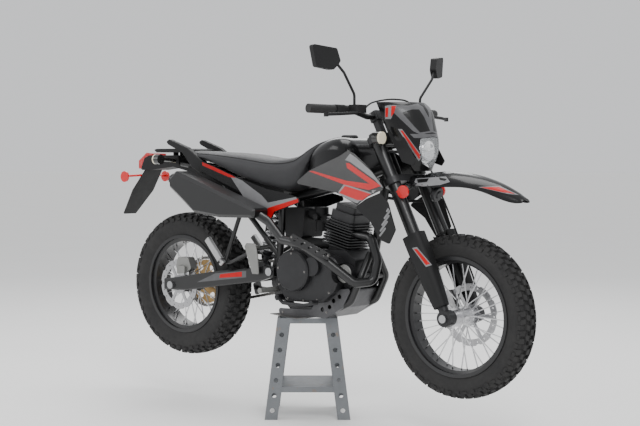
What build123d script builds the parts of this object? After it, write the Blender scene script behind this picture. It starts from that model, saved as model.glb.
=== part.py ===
import os
from math import cos, radians, sin

from build123d import *

os.makedirs("parts", exist_ok=True)

# Driving dimensions in millimetres: x forward, y left, z up from the floor, x = 0 at the middle of the whole
wheelbase = 1400
wheels_middle_x = 60
front_axle_x = wheels_middle_x + wheelbase / 2
rear_axle_x = wheels_middle_x - wheelbase / 2
front_axle_z = 447
rear_axle_z = 493

rake = 26
fork_offset = 45
fork_half_spacing = 95

front_tyre_radius = 307
front_tyre_half_width = 55
front_bead_radius = 216
front_rim_inner = 200
rear_tyre_radius = 309
rear_tyre_half_width = 71
rear_bead_radius = 203
rear_rim_inner = 184

running_gap = 0.3
seat_gap = 0.5
moving_gap = 5

front_axle = (front_axle_x, 0, front_axle_z)
rear_axle = (rear_axle_x, 0, rear_axle_z)

# Steering frame: local x forward across the fork, y left, z up along the steering axis, axle at z = 0
steer_forward = (cos(radians(rake)), 0, sin(radians(rake)))
steer_up = (-sin(radians(rake)), 0, cos(radians(rake)))
steer_foot = (front_axle_x - fork_offset * steer_forward[0], 0, front_axle_z - fork_offset * steer_forward[2])
steer = Plane(origin=steer_foot, x_dir=steer_forward, z_dir=steer_up)


def on_steer(x, y, z):
    """A point of the steering frame in the whole's frame."""
    return steer.from_local_coords(Vector(x, y, z))


def side(y):
    """The plane seen from the right at y, drawn in x and z, whose extrusion goes to the right."""
    return Plane.XZ.offset(-y)


def wheel_plane(centre):
    """The half plane through an axle, drawn in y and radius."""
    return Plane(origin=centre, x_dir=(0, 1, 0), z_dir=(1, 0, 0))


def outline(plane, points, corner=0):
    """A closed face through the points, with its corners rounded."""
    with BuildSketch(plane) as sketch:
        with BuildLine():
            if corner:
                FilletPolyline(*points, radius=corner, close=True)
            else:
                Polyline(*points, close=True)
        make_face()
    return sketch.sketch


def tube(points, radius, bend=0):
    """A round bar along straight runs joined by tangent arcs."""
    with BuildPart() as piece:
        with BuildLine() as path:
            if bend:
                FilletPolyline(*points, radius=bend)
            else:
                Polyline(*points)
        with BuildSketch(Plane(origin=path.line @ 0, z_dir=path.line % 0)):
            Circle(radius)
        sweep(path=path.line)
    return piece.part


def disc(centre, radius, half_length, axis=(0, 1, 0)):
    """A round boss centred on a point, along an axis."""
    with BuildPart() as piece:
        with BuildSketch(Plane(origin=centre, z_dir=axis)):
            Circle(radius)
        extrude(amount=half_length, both=True)
    return piece.part


def ring_section(centre, points):
    """A ring turned about an axle from a section in y and radius."""
    with BuildPart() as piece:
        with BuildSketch(wheel_plane(centre)):
            with BuildLine():
                Polyline(*points, close=True)
            make_face()
        revolve(axis=Axis(centre, (0, 1, 0)))
    return piece.part


def slab(points, corner, y_near, y_far):
    """A flat slab between two y planes."""
    with BuildPart() as piece:
        with BuildSketch(side(y_near)):
            add(outline(Plane.XY, points, corner))
        extrude(amount=y_near - y_far)
    return piece.part


def bevelled(points, corner, y_near, y_far, bevel):
    """A slab between two y planes whose far face is smaller all round."""
    y_edge = y_far + (bevel if y_far < y_near else -bevel)
    with BuildPart() as piece:
        for y in (y_near, y_edge):
            with BuildSketch(side(y)):
                add(outline(Plane.XY, points, corner))
        loft(ruled=True)
        for y, inset in ((y_edge, 0), (y_far, bevel)):
            with BuildSketch(side(y)):
                add(outline(Plane.XY, points, corner))
                if inset:
                    offset(amount=-inset)
        loft(ruled=True)
    return piece.part


def mirrored(part):
    """The same piece on the other side."""
    return mirror(part, about=Plane.XZ)


def side_loft(sections):
    """A rounded body through sections across x: columns x, half width, z bottom, z top, corner."""
    with BuildPart() as piece:
        for x, half_width, bottom, top, corner in sections:
            middle = Plane(origin=(x, 0, (bottom + top) / 2), x_dir=(0, 1, 0), z_dir=(1, 0, 0))
            with BuildSketch(middle):
                RectangleRounded(2 * half_width, top - bottom, corner)
        loft()
    return piece.part


# Tyres
tyre_shoulder_drop = 24
tyre_bead_inset = 14
rim_flange_height = 9
rim_flange_width = 4


def tyre(centre, radius, half_width, bead):
    """A tyre turned from its section, out to the lugs' tips."""
    bead_half = half_width - tyre_bead_inset
    toe = (bead_half - running_gap, bead)
    rim_edge = (toe[0], bead + rim_flange_height + running_gap)
    shoulder = (half_width - 5, radius - tyre_shoulder_drop)
    bulge = (half_width, (bead + radius) / 2)
    with BuildPart() as piece:
        with BuildSketch(wheel_plane(centre)):
            with BuildLine():
                Line((-toe[0], toe[1]), (-rim_edge[0], rim_edge[1]))
                ThreePointArc((-rim_edge[0], rim_edge[1]), (-bulge[0], bulge[1]), (-shoulder[0], shoulder[1]))
                ThreePointArc((-shoulder[0], shoulder[1]), (0, radius), shoulder)
                ThreePointArc(shoulder, bulge, rim_edge)
                Line(rim_edge, toe)
                Line(toe, (-toe[0], toe[1]))
            make_face()
        revolve(axis=Axis(centre, (0, 1, 0)))
    return piece.part


front_tyre_part = tyre(front_axle, front_tyre_radius, front_tyre_half_width, front_bead_radius)
rear_tyre_part = tyre(rear_axle, rear_tyre_radius, rear_tyre_half_width, rear_bead_radius)

with BuildPart() as front_tyre:
    add(front_tyre_part)
front_tyre.part.label = "front_tyre"
export_step(front_tyre.part, "parts/front_tyre.step")

with BuildPart() as rear_tyre:
    add(rear_tyre_part)
rear_tyre.part.label = "rear_tyre"
export_step(rear_tyre.part, "parts/rear_tyre.step")

# Rims, spokes and hubs
rim_wall = 4
hub_radius = 26
hub_flange_radius = 36
hub_flange_width = 5
axle_radius = 10
spoke_width = 3.6
spokes_per_side = 18
front_hub_half = 66
front_flange_y = 34
rear_hub_half = 92
rear_flange_y = 42


def rim_with_hub(centre, bead_half, bead, inner, hub_half, flange_y):
    """A rim joined to its hub by crossed spokes, as one piece."""
    seat = bead - running_gap
    well_half = bead_half - 14
    rim = [
        (-bead_half - rim_flange_width, seat - rim_wall),
        (-bead_half - rim_flange_width, bead + rim_flange_height),
        (-bead_half, bead + rim_flange_height),
        (-bead_half, seat),
        (-well_half - rim_wall, seat),
        (-well_half, inner + rim_wall),
        (well_half, inner + rim_wall),
        (well_half + rim_wall, seat),
        (bead_half, seat),
        (bead_half, bead + rim_flange_height),
        (bead_half + rim_flange_width, bead + rim_flange_height),
        (bead_half + rim_flange_width, seat - rim_wall),
        (well_half + rim_wall, seat - rim_wall),
        (well_half, inner),
        (-well_half, inner),
        (-well_half - rim_wall, seat - rim_wall),
    ]
    bore = axle_radius + running_gap
    flange_in = flange_y - hub_flange_width
    hub = [
        (-hub_half, bore),
        (-hub_half, hub_radius),
        (-flange_y, hub_radius),
        (-flange_y, hub_flange_radius),
        (-flange_in, hub_flange_radius),
        (-flange_in, hub_radius),
        (flange_in, hub_radius),
        (flange_in, hub_flange_radius),
        (flange_y, hub_flange_radius),
        (flange_y, hub_radius),
        (hub_half, hub_radius),
        (hub_half, bore),
    ]
    spokes = []
    for sign in (-1, 1):
        for number in range(spokes_per_side):
            lean = 62 if number % 2 else -62
            turn = number * 360 / spokes_per_side + (10 if sign > 0 else 0)
            root = Vector(hub_flange_radius - 6, 0, 0).rotate(Axis.Y, turn)
            tip = Vector(inner + rim_wall / 2, 0, 0).rotate(Axis.Y, turn + lean / 3)
            root_point = Vector(*centre) + root + Vector(0, sign * (flange_y - hub_flange_width / 2), 0)
            tip_point = Vector(*centre) + tip + Vector(0, sign * 6, 0)
            run = tip_point - root_point
            with BuildPart() as spoke:
                with BuildSketch(Plane(origin=root_point, z_dir=run)):
                    Rectangle(spoke_width, spoke_width)
                extrude(amount=run.length)
            spokes.append(spoke.part)
    with BuildPart() as piece:
        add(ring_section(centre, rim))
        add(ring_section(centre, hub))
        add(spokes)
    return piece.part


front_rim_part = rim_with_hub(
    front_axle, front_tyre_half_width - tyre_bead_inset, front_bead_radius, front_rim_inner,
    front_hub_half, front_flange_y)
rear_rim_part = rim_with_hub(
    rear_axle, rear_tyre_half_width - tyre_bead_inset, rear_bead_radius, rear_rim_inner,
    rear_hub_half, rear_flange_y)

with BuildPart() as front_rim:
    add(front_rim_part)
front_rim.part.label = "front_rim"
export_step(front_rim.part, "parts/front_rim.step")

with BuildPart() as rear_rim:
    add(rear_rim_part)
rear_rim.part.label = "rear_rim"
export_step(rear_rim.part, "parts/rear_rim.step")

# Brake discs and the rear sprocket
disc_thickness = 4
disc_band = 26
disc_waves = 10
disc_wave_depth = 5
disc_holes = 20
front_disc_radius = 118
front_disc_y = 62
rear_disc_radius = 108
rear_disc_y = -82
sprocket_teeth = 41
chain_pitch = 15.875
sprocket_y = 88
sprocket_thickness = 6
sprocket_pitch_radius = chain_pitch / 2 / sin(radians(180 / sprocket_teeth))
chain_roller_radius = 5
sprocket_tip_radius = sprocket_pitch_radius - chain_roller_radius - 2
carrier_arms = 6


def wave_disc(centre, y, radius):
    """A wavy brake disc on its spider, seated on the hub."""
    band_inner = radius - disc_band
    flat = Plane(origin=(centre[0], y, centre[2]), x_dir=(1, 0, 0), z_dir=(0, -1, 0))
    with BuildPart() as piece:
        with BuildSketch(flat):
            Circle(radius)
            with PolarLocations(radius + 12, disc_waves):
                Circle(12 + disc_wave_depth, mode=Mode.SUBTRACT)
            with PolarLocations(radius - disc_band / 2, disc_holes):
                Circle(3, mode=Mode.SUBTRACT)
            Circle(band_inner, mode=Mode.SUBTRACT)
            for arm in range(carrier_arms):
                with Locations(Rotation(0, 0, arm * 360 / carrier_arms)):
                    Rectangle(band_inner + 4, 13, align=(Align.MIN, Align.CENTER))
            Circle(hub_radius + 14)
            Circle(hub_radius + running_gap, mode=Mode.SUBTRACT)
        extrude(amount=disc_thickness / 2, both=True)
    return piece.part


front_disc_part = wave_disc(front_axle, front_disc_y, front_disc_radius)
rear_disc_part = wave_disc(rear_axle, rear_disc_y, rear_disc_radius)

with BuildPart() as front_disc:
    add(front_disc_part)
front_disc.part.label = "front_disc"
export_step(front_disc.part, "parts/front_disc.step")

with BuildPart() as rear_disc:
    add(rear_disc_part)
rear_disc.part.label = "rear_disc"
export_step(rear_disc.part, "parts/rear_disc.step")

with BuildPart() as rear_sprocket:
    with BuildSketch(Plane(origin=(rear_axle_x, sprocket_y, rear_axle_z), x_dir=(1, 0, 0), z_dir=(0, -1, 0))):
        Circle(sprocket_tip_radius)
        with PolarLocations(sprocket_tip_radius, sprocket_teeth):
            Circle(4, mode=Mode.SUBTRACT)
        with PolarLocations((sprocket_tip_radius + hub_radius) / 2 + 6, carrier_arms):
            SlotOverall(34, 22, rotation=90, mode=Mode.SUBTRACT)
        Circle(hub_radius + running_gap, mode=Mode.SUBTRACT)
    extrude(amount=sprocket_thickness / 2, both=True)
rear_sprocket.part.label = "rear_sprocket"
export_step(rear_sprocket.part, "parts/rear_sprocket.step")

# Lift stand: a trestle of perforated angle iron that faces the photograph's camera, with a loose plate on top
stand_yaw = 39.4
stand_centre = (25, -10)
stand_height = 403
stand_top_half_width = 119
stand_foot_half_width = 170
stand_top_half_depth = 143
stand_foot_half_depth = 153
angle_leg = 51
angle_wall = 4
stand_hole_radius = 9.5
stand_hole_pitch = 60
stand_hole_first = 37
stand_holes = 6
stand_rail_height = 21
shelf_z = 130
stand_plate_size = (241, 204)
stand_plate_turn = 70.6
stand_plate_thickness = 3
stand_plate_centre = (38, -22)
rest_z = stand_height + stand_plate_thickness

stand_frame = Plane(
    origin=(stand_centre[0], stand_centre[1], 0),
    x_dir=(cos(radians(stand_yaw)), sin(radians(stand_yaw)), 0),
    z_dir=(0, 0, 1))


def stand_half(z, foot, top):
    """Half the stand's width or depth at a height."""
    return foot + (top - foot) * z / stand_height


def stand_leg():
    """One splayed angle-iron leg at the stand's right front corner, in the stand's own frame."""
    corners = []
    for z in (0, stand_height):
        half_width = stand_half(z, stand_foot_half_width, stand_top_half_width)
        half_depth = stand_half(z, stand_foot_half_depth, stand_top_half_depth)
        corners.append((z, half_width, half_depth))
    with BuildPart() as leg:
        for z, half_width, half_depth in corners:
            with BuildSketch(Plane.XY.offset(z)):
                with BuildLine():
                    Polyline(
                        (half_width, -half_depth),
                        (half_width, -half_depth + angle_leg),
                        (half_width - angle_wall, -half_depth + angle_leg),
                        (half_width - angle_wall, -half_depth + angle_wall),
                        (half_width - angle_leg, -half_depth + angle_wall),
                        (half_width - angle_leg, -half_depth),
                        close=True)
                make_face()
        loft(ruled=True)
        for number in range(stand_holes):
            z = stand_hole_first + number * stand_hole_pitch
            half_width = stand_half(z, stand_foot_half_width, stand_top_half_width)
            half_depth = stand_half(z, stand_foot_half_depth, stand_top_half_depth)
            drill = Plane(origin=(half_width - angle_leg / 2, -half_depth + angle_leg / 3, z), z_dir=(0, -1, 0))
            with BuildSketch(drill):
                Circle(stand_hole_radius)
            extrude(amount=angle_leg, mode=Mode.SUBTRACT)
    return leg.part


def stand_rails(z_top, height, inset):
    """A ring of four flat rails between the legs, flush with their outer faces."""
    half_width = stand_half(z_top, stand_foot_half_width, stand_top_half_width) - inset
    half_depth = stand_half(z_top, stand_foot_half_depth, stand_top_half_depth) - inset
    with BuildPart() as rails:
        with BuildSketch(Plane.XY.offset(z_top)):
            Rectangle(2 * half_width, 2 * half_depth)
            Rectangle(2 * half_width - 2 * angle_wall, 2 * half_depth - 2 * angle_wall, mode=Mode.SUBTRACT)
        extrude(amount=-height)
    return rails.part


def stand_sheet(z_top, inset, thickness):
    """A flat sheet across the stand inside its legs."""
    half_width = stand_half(z_top, stand_foot_half_width, stand_top_half_width) - inset
    half_depth = stand_half(z_top, stand_foot_half_depth, stand_top_half_depth) - inset
    with BuildPart() as sheet:
        with BuildSketch(Plane.XY.offset(z_top)):
            Rectangle(2 * half_width, 2 * half_depth)
        extrude(amount=-thickness)
    return sheet.part


leg = stand_leg()
legs = [leg, mirror(leg, about=Plane.YZ)]
legs += [mirror(one, about=Plane.XZ) for one in legs]
stand_pieces = legs + [
    stand_rails(stand_height, stand_rail_height, 0),
    stand_rails(shelf_z, stand_rail_height, angle_wall / 2),
    stand_sheet(shelf_z, angle_wall, angle_wall),
]

with BuildPart() as lift_stand:
    add([stand_frame.location * one for one in stand_pieces])
lift_stand.part.label = "lift_stand"
export_step(lift_stand.part, "parts/lift_stand.step")

plate_frame = Plane(
    origin=(stand_plate_centre[0], stand_plate_centre[1], stand_height),
    x_dir=(cos(radians(stand_plate_turn)), sin(radians(stand_plate_turn)), 0),
    z_dir=(0, 0, 1))

with BuildPart() as stand_plate:
    with BuildSketch(plate_frame):
        Rectangle(*stand_plate_size)
    extrude(amount=stand_plate_thickness)
stand_plate.part.label = "stand_plate"
export_step(stand_plate.part, "parts/stand_plate.step")

# Main frame: head tube, backbone, down tube and a double cradle with pivot plates
head_low = 572
head_high = 716
head_radius = 27
head_wall = 5
backbone_radius = 21
frame_tube = 15
cradle_y = 82
upright_y = 56
cradle_low_z = 438
pivot_x = -77
pivot_z = 578
pivot_plate_wall = 8
pivot_plate_front = pivot_x + 34
backbone_rear = (-66, 0, 872)
engine_front = 326

head_bottom = on_steer(0, 0, head_low)
head_top = on_steer(0, 0, head_high)
head_middle = (head_bottom + head_top) * 0.5
down_tube_top = on_steer(-24, 0, head_low + 62)
cradle_points = [
    (352, 20, 664),
    (350, cradle_y, 572),
    (302, cradle_y, 476),
    (215, cradle_y, cradle_low_z),
    (10, cradle_y, cradle_low_z),
    (-92, upright_y, 500),
    (-80, upright_y, 700),
    (-66, upright_y, 876),
]
cradle_bend = 40

cradle = tube(cradle_points, frame_tube, cradle_bend)
with BuildPart() as pivot_plate:
    with BuildSketch(side(upright_y + pivot_plate_wall / 2)):
        with BuildLine():
            FilletPolyline(
                (pivot_x - 48, 508), (pivot_plate_front, 500), (pivot_plate_front, 640),
                (pivot_x - 20, 668), (pivot_x - 52, 580), radius=16, close=True)
        make_face()
        with Locations((pivot_x, pivot_z)):
            Circle(axle_radius + running_gap, mode=Mode.SUBTRACT)
    extrude(amount=pivot_plate_wall)

# Lugs welded to the frame: foot peg plates, shock absorber clevis, front engine hanger and side stand lug
foot_plate_inner = 104
foot_plate_outer = 112
foot_plate_points = [(-66, 524), (-62, 466), (-12, 466), (-14, 492), (-36, 502), (-36, 524)]
shock_head = (-112, 0, 862)
shock_eye_half = 15
clevis_points = [(-58, 890), (-56, 862), (-104, 838), (-132, 852), (-126, 880)]
clevis_wall = 8
stand_pivot = Vector(-112, 116, 456)
folded_run = Vector(-1, 0.16, 0.06).normalized()
down_run = Vector(0.2, 0.28, -0.94).normalized()
stand_axis = folded_run.cross(down_run).normalized()
stand_boss_half = 11
stand_lug_root = Vector(-84, 60, 488)
stand_lug_half = 5
stand_lug = stand_pivot - stand_axis * (stand_boss_half + running_gap + stand_lug_half)
if stand_lug.Y > stand_pivot.Y:
    stand_lug = stand_pivot + stand_axis * (stand_boss_half + running_gap + stand_lug_half)

foot_plate = slab(foot_plate_points, 6, foot_plate_outer, foot_plate_inner)
foot_plate_stay = tube([(-41, 69, 469), (-44, foot_plate_inner + 2, 478)], 9)
clevis = slab(clevis_points, 8, shock_eye_half + running_gap + clevis_wall, shock_eye_half + running_gap)
frame_lugs = [foot_plate, foot_plate_stay, clevis]

with BuildPart() as main_frame:
    with BuildSketch(steer.offset(head_low)):
        Circle(head_radius)
    extrude(amount=head_high - head_low)
    add(tube([tuple(head_middle), (250, 0, 940), backbone_rear], backbone_radius, 120))
    add(tube([tuple(down_tube_top), (352, 0, 636)], backbone_radius - 3))
    add([cradle, mirrored(cradle)])
    add([pivot_plate.part, mirrored(pivot_plate.part)])
    add(tube([(-66, -upright_y, 876), (-66, upright_y, 876)], frame_tube))
    add(tube([(-92, -upright_y, 520), (-92, upright_y, 520)], frame_tube - 3))
    add(tube([(engine_front + seat_gap + 14, -cradle_y, 575), (engine_front + seat_gap + 14, cradle_y, 575)], 14))
    add(frame_lugs + [mirrored(one) for one in frame_lugs])
    add(disc(stand_lug, 15, stand_lug_half, stand_axis))
    add(tube([tuple(stand_lug + (stand_lug_root - stand_lug) * 0.15), tuple(stand_lug_root)], 9))
    with BuildSketch(steer.offset(head_low)):
        Circle(head_radius - head_wall)
    extrude(amount=head_high - head_low, mode=Mode.SUBTRACT)
    add(disc((pivot_x, 0, pivot_z), axle_radius + running_gap, 2 * cradle_y), mode=Mode.SUBTRACT)
main_frame.part.label = "main_frame"
export_step(main_frame.part, "parts/main_frame.step")

# Subframe: seat rails, struts and the loops that carry the passenger pegs
seat_rail_y = 78
subframe_tube = 11
peg_loop_tube = 9
peg_pivot = (-327, 0, 604)
peg_hinge_y = 142
peg_knuckle_radius = 8
rail = tube(
    [(-66, 62, 886), (-180, seat_rail_y, 902), (-420, seat_rail_y, 985), (-500, seat_rail_y, 995), (-640, 62, 1012)],
    subframe_tube, 50)
strut = tube([(-88, 60, 640), (-200, 88, 780), (-430, seat_rail_y, 982)], subframe_tube, 60)
peg_loop = tube(
    [(-116, 68, 678), (-160, 104, 668), (-300, 118, 604), (peg_pivot[0] - 6, 118, 604), (-262, 88, 832)],
    peg_loop_tube, 9.5)
with BuildPart() as subframe:
    add([rail, mirrored(rail), strut, mirrored(strut), peg_loop, mirrored(peg_loop)])
    add(tube([(-420, -seat_rail_y, 985), (-420, seat_rail_y, 985)], subframe_tube))
    add(tube([(-640, -62, 1012), (-640, 62, 1012)], subframe_tube))
    for sign in (-1, 1):
        boss_outer = peg_hinge_y - peg_knuckle_radius - running_gap
        add(disc((peg_pivot[0], sign * (118 + boss_outer) / 2, peg_pivot[2]), 8.5, (boss_outer - 118) / 2))
    add(main_frame.part, mode=Mode.SUBTRACT)
subframe.part.label = "subframe"
export_step(subframe.part, "parts/subframe.step")

# Engine: a closed block for the cases with covers seated on both sides, and an open finned cylinder
case_half_width = 84
crankshaft = (68, 590)
clutch_radius = 82
case_rear = pivot_plate_front + running_gap
case_points = [
    (case_rear + 8, 508), (case_rear, 540), (case_rear, 606), (0, 650), (90, 676), (280, 676),
    (engine_front, 640), (engine_front, 556), (280, 500), (214, 462), (10, 460)]
cover_points = [
    (-30, 520), (-24, 640), (60, 688), (190, 664), (262, 648), (300, 600), (262, 520), (200, 470), (20, 466)]
front_sprocket = (-20, 556)
front_sprocket_radius = 38
sprocket_pocket_points = [(-60, 480), (-60, 630), (38, 630), (42, 480)]
cover_depth = 56
cover_bevel = 8
clutch_face_y = -164
oil_cover = (161, 611)
oil_cover_radius = 37
starter_cover = (292, 588)
starter_cover_radius = 37

with BuildPart() as crankcase:
    add(slab(case_points, 18, case_half_width, -case_half_width))
    add(disc((starter_cover[0], -case_half_width - 12, starter_cover[1]), starter_cover_radius, 12.5))
    add(slab(sprocket_pocket_points, 6, case_half_width + 1, sprocket_y - 11), mode=Mode.SUBTRACT)
    add(disc((front_sprocket[0], sprocket_y, front_sprocket[1]), front_sprocket_radius - 0.6, 3))
    add(disc((front_sprocket[0], sprocket_y - 6, front_sprocket[1]), 14, 12))
crankcase.part.label = "crankcase"
export_step(crankcase.part, "parts/crankcase.step")

with BuildPart() as clutch_cover:
    add(bevelled(cover_points, 22, -case_half_width, -case_half_width - cover_depth, cover_bevel))
    with BuildSketch(side(-case_half_width)):
        with Locations(crankshaft):
            Circle(clutch_radius)
    extrude(amount=-clutch_face_y - case_half_width)
    chamfer(clutch_cover.faces().sort_by(Axis.Y)[0].edges(), 6)
    with BuildSketch(side(-case_half_width)):
        with Locations(oil_cover):
            Circle(oil_cover_radius)
    extrude(amount=-clutch_face_y - case_half_width - 10)
    with BuildSketch(side(-case_half_width)):
        with Locations(starter_cover):
            Circle(starter_cover_radius + 3)
    extrude(amount=cover_depth, mode=Mode.SUBTRACT)
clutch_cover.part.label = "clutch_cover"
export_step(clutch_cover.part, "parts/clutch_cover.step")

generator_centre = (126, 572)
generator_radius = 66
left_cover_points = [(48, 500), (48, 640), (90, 660), (210, 640), (230, 540), (170, 480), (70, 472)]
sprocket_cover_points = [(-26, 512), (-22, 600), (0, 616), (70, 616), (70, 486), (6, 482)]
left_cover_depth = 38
with BuildPart() as generator_cover:
    add(bevelled(left_cover_points, 14, case_half_width, case_half_width + left_cover_depth, cover_bevel))
    add(bevelled(sprocket_cover_points, 12, sprocket_y + 12, case_half_width + left_cover_depth, 5))
    with BuildSketch(side(case_half_width)):
        with Locations(generator_centre):
            Circle(generator_radius)
    extrude(amount=-62)
    chamfer(generator_cover.faces().sort_by(Axis.Y)[-1].edges(), 5)
generator_cover.part.label = "generator_cover"
export_step(generator_cover.part, "parts/generator_cover.step")

cylinder_lean = 14
cylinder_foot = (208, 0, 676)
barrel_half = 50
barrel_sink = 16
fin_half_x = 70
fin_half_y = 74
fin_pitch = 11
fin_thickness = 3.5
barrel_fins = 7
head_fins = 3
head_block_half = (58, 62)
rocker_half = (48, 52)
port_height = 96
port_y = -20
port_radius = 24
port_face = 76
cylinder_plane = Plane(
    origin=cylinder_foot,
    x_dir=(cos(radians(cylinder_lean)), 0, -sin(radians(cylinder_lean))),
    z_dir=(sin(radians(cylinder_lean)), 0, cos(radians(cylinder_lean))))
fin_start = 14
head_foot = fin_start + barrel_fins * fin_pitch
head_top_z = head_foot + 62
rocker_top = head_top_z + 26

with BuildPart() as cylinder:
    with BuildSketch(cylinder_plane.offset(-barrel_sink)):
        RectangleRounded(2 * barrel_half, 2 * barrel_half, 18)
    extrude(amount=head_foot + barrel_sink)
    for number in range(barrel_fins):
        with BuildSketch(cylinder_plane.offset(fin_start + number * fin_pitch)):
            RectangleRounded(2 * fin_half_x, 2 * fin_half_y, 16)
        extrude(amount=fin_thickness)
    with BuildSketch(cylinder_plane.offset(head_foot)):
        RectangleRounded(2 * head_block_half[0], 2 * head_block_half[1], 14)
    extrude(amount=head_top_z - head_foot)
    for number in range(head_fins):
        with BuildSketch(cylinder_plane.offset(head_foot + number * fin_pitch)):
            RectangleRounded(2 * fin_half_x, 2 * fin_half_y, 16)
        extrude(amount=fin_thickness)
    with BuildSketch(cylinder_plane.offset(head_top_z)):
        RectangleRounded(2 * rocker_half[0], 2 * rocker_half[1], 12)
    extrude(amount=rocker_top - head_top_z)
    port_root = cylinder_plane.from_local_coords(Vector(-barrel_half, port_y, port_height))
    with BuildSketch(Plane(origin=port_root, z_dir=-cylinder_plane.x_dir)):
        Circle(port_radius)
    extrude(amount=port_face - barrel_half)
    add(crankcase.part, mode=Mode.SUBTRACT)
    add(clutch_cover.part, mode=Mode.SUBTRACT)
cylinder.part.label = "cylinder"
export_step(cylinder.part, "parts/cylinder.step")

# Intake: air box between the frame's uprights, its boot and the carburettor
air_box_points = [(-48, 712), (40, 716), (56, 836), (-48, 838)]
air_box_half = 64
air_box_ear_points = [(-94, 740), (-94, 820), (-40, 820), (-40, 740)]
throat_radius = port_radius - 2
throat_length = 112
bowl_x = 108
with BuildPart() as intake:
    add(slab(air_box_points, 12, air_box_half, -air_box_half))
    add(slab(air_box_ear_points, 0, upright_y - frame_tube - seat_gap, frame_tube + seat_gap - upright_y))
    throat_start = cylinder_plane.from_local_coords(Vector(-port_face - running_gap, port_y, port_height))
    with BuildSketch(Plane(origin=throat_start, z_dir=-cylinder_plane.x_dir)):
        Circle(throat_radius)
    extrude(amount=throat_length)
    add(disc((bowl_x, port_y, 822), 27, 18, (0, 0, 1)))
    add(disc((bowl_x, port_y, 766), 25, 22, (0, 0, 1)))
    add(disc((bowl_x, port_y - 32, 802), 12, 12))
intake.part.label = "intake"
export_step(intake.part, "parts/intake.step")

# Exhaust: header round the front of the engine, heat shield and upswept silencer on the right
header_radius = 18
header_bend = 45
header_points = [
    (270, -34, 740), (376, -48, 728), (412, -54, 640), (404, -72, 562), (362, -134, 556),
    (268, -188, 640), (150, -192, 700), (40, -186, 714), (-40, -178, 784), (-92, -190, 814)]
shield_points = [(96, 722), (118, 742), (309, 670), (292, 646), (118, 700)]
shield_wall = 3
shield_slots = 5
shield_slot_start = (134, 718)
shield_slot_end = (280, 666)

silencer_outline = [
    (-508, 984), (-550, 950), (-548, 916), (-402, 812), (-262, 796), (-70, 798), (-66, 834)]
silencer_inner_y = -150
silencer_outer_y = -238
outlet = (-541, -194, 942)
outlet_direction = Vector(-0.93, 0, 0.36)
outlet_radius = 22
outlet_length = 26
with BuildPart() as muffler:
    add(bevelled(silencer_outline, 14, silencer_inner_y, silencer_outer_y, 12))
    add(disc((-300, (silencer_inner_y - 96) / 2, 868), 12, (-96 - silencer_inner_y) / 2))
    with BuildSketch(Plane(origin=outlet, z_dir=outlet_direction)):
        Circle(outlet_radius)
    extrude(amount=outlet_length)
    with BuildSketch(Plane(origin=outlet, z_dir=outlet_direction)):
        Circle(outlet_radius - 4)
    extrude(amount=outlet_length, mode=Mode.SUBTRACT)
muffler.part.label = "muffler"
export_step(muffler.part, "parts/muffler.step")

with BuildPart() as exhaust_header:
    add(tube(header_points, header_radius, 30))
    add(cylinder.part, mode=Mode.SUBTRACT)
    add(muffler.part, mode=Mode.SUBTRACT)
exhaust_header.part.label = "exhaust_header"
export_step(exhaust_header.part, "parts/exhaust_header.step")

shield_y = header_points[6][1] - header_radius - running_gap
with BuildPart() as heat_shield:
    add(slab(shield_points, 5, shield_y, shield_y - shield_wall))
    for number in range(shield_slots):
        share = number / (shield_slots - 1)
        x = shield_slot_start[0] + share * (shield_slot_end[0] - shield_slot_start[0])
        z = shield_slot_start[1] + share * (shield_slot_end[1] - shield_slot_start[1])
        with BuildSketch(side(shield_y)):
            with Locations((x, z)):
                SlotOverall(26, 8, rotation=20)
        extrude(amount=shield_wall, mode=Mode.SUBTRACT)
heat_shield.part.label = "heat_shield"
export_step(heat_shield.part, "parts/heat_shield.step")

# Skid plate: a folded sheet under the cradle that carries the whole bike on the stand's plate
skid_wall = 4
skid_half = cradle_y + frame_tube + running_gap + skid_wall
skid_bottom = rest_z
skid_holes = [(212, 452), (176, 440), (262, 496), (232, 478)]
with BuildPart() as skid_plate:
    with BuildSketch(side(skid_half)):
        with BuildLine():
            FilletPolyline(
                (-64, skid_bottom + 26), (-40, skid_bottom), (190, skid_bottom), (276, 452), (322, 532),
                (262, 524), (150, 488), (120, 436), (-30, 432), radius=10, close=True)
        make_face()
    extrude(amount=2 * skid_half)
    with BuildSketch(side(skid_half - skid_wall)):
        with BuildLine():
            FilletPolyline(
                (-90, skid_bottom + 40), (-38, skid_bottom + skid_wall), (188, skid_bottom + skid_wall),
                (272, 456), (330, 556), (100, 556), (-90, 500), radius=8, close=True)
        make_face()
    extrude(amount=2 * skid_half - 2 * skid_wall, mode=Mode.SUBTRACT)
    for x, z in skid_holes:
        with BuildSketch(side(skid_half + 1)):
            with Locations((x, z)):
                Circle(9)
        extrude(amount=2 * skid_half + 2, mode=Mode.SUBTRACT)
    add([clutch_cover.part, generator_cover.part, main_frame.part], mode=Mode.SUBTRACT)
skid_plate.part.label = "skid_plate"
export_step(skid_plate.part, "parts/skid_plate.step")

# Fuel tank and filler cap, seat
tunnel_half = 32
tunnel_points = [(40, 880), (40, 917.2), (250, 963.1), (390, 1012.4), (390, 880)]
tank_sections = [
    (70, 62, 944, 1052, 30),
    (130, 96, 926, 1084, 40),
    (220, 122, 922, 1113, 50),
    (300, 124, 936, 1104, 50),
    (338, 96, 962, 1046, 36),
]
seat_sections = [
    (-582, 96, 1040, 1070, 12),
    (-440, 112, 1024, 1064, 18),
    (-270, 118, 968, 1054, 26),
    (-95, 112, 924, 1036, 30),
    (15, 96, 916, 1048, 28),
    (105, 68, 990, 1092, 24),
    (176, 40, 1060, 1116, 16),
]
seat_feet = [
    (-420, 40, 996.3, 1034),
    (-66, 40, 891.3, 940),
]
cap_centre = (232, 0, 1112)
cap_radius = 34

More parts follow.
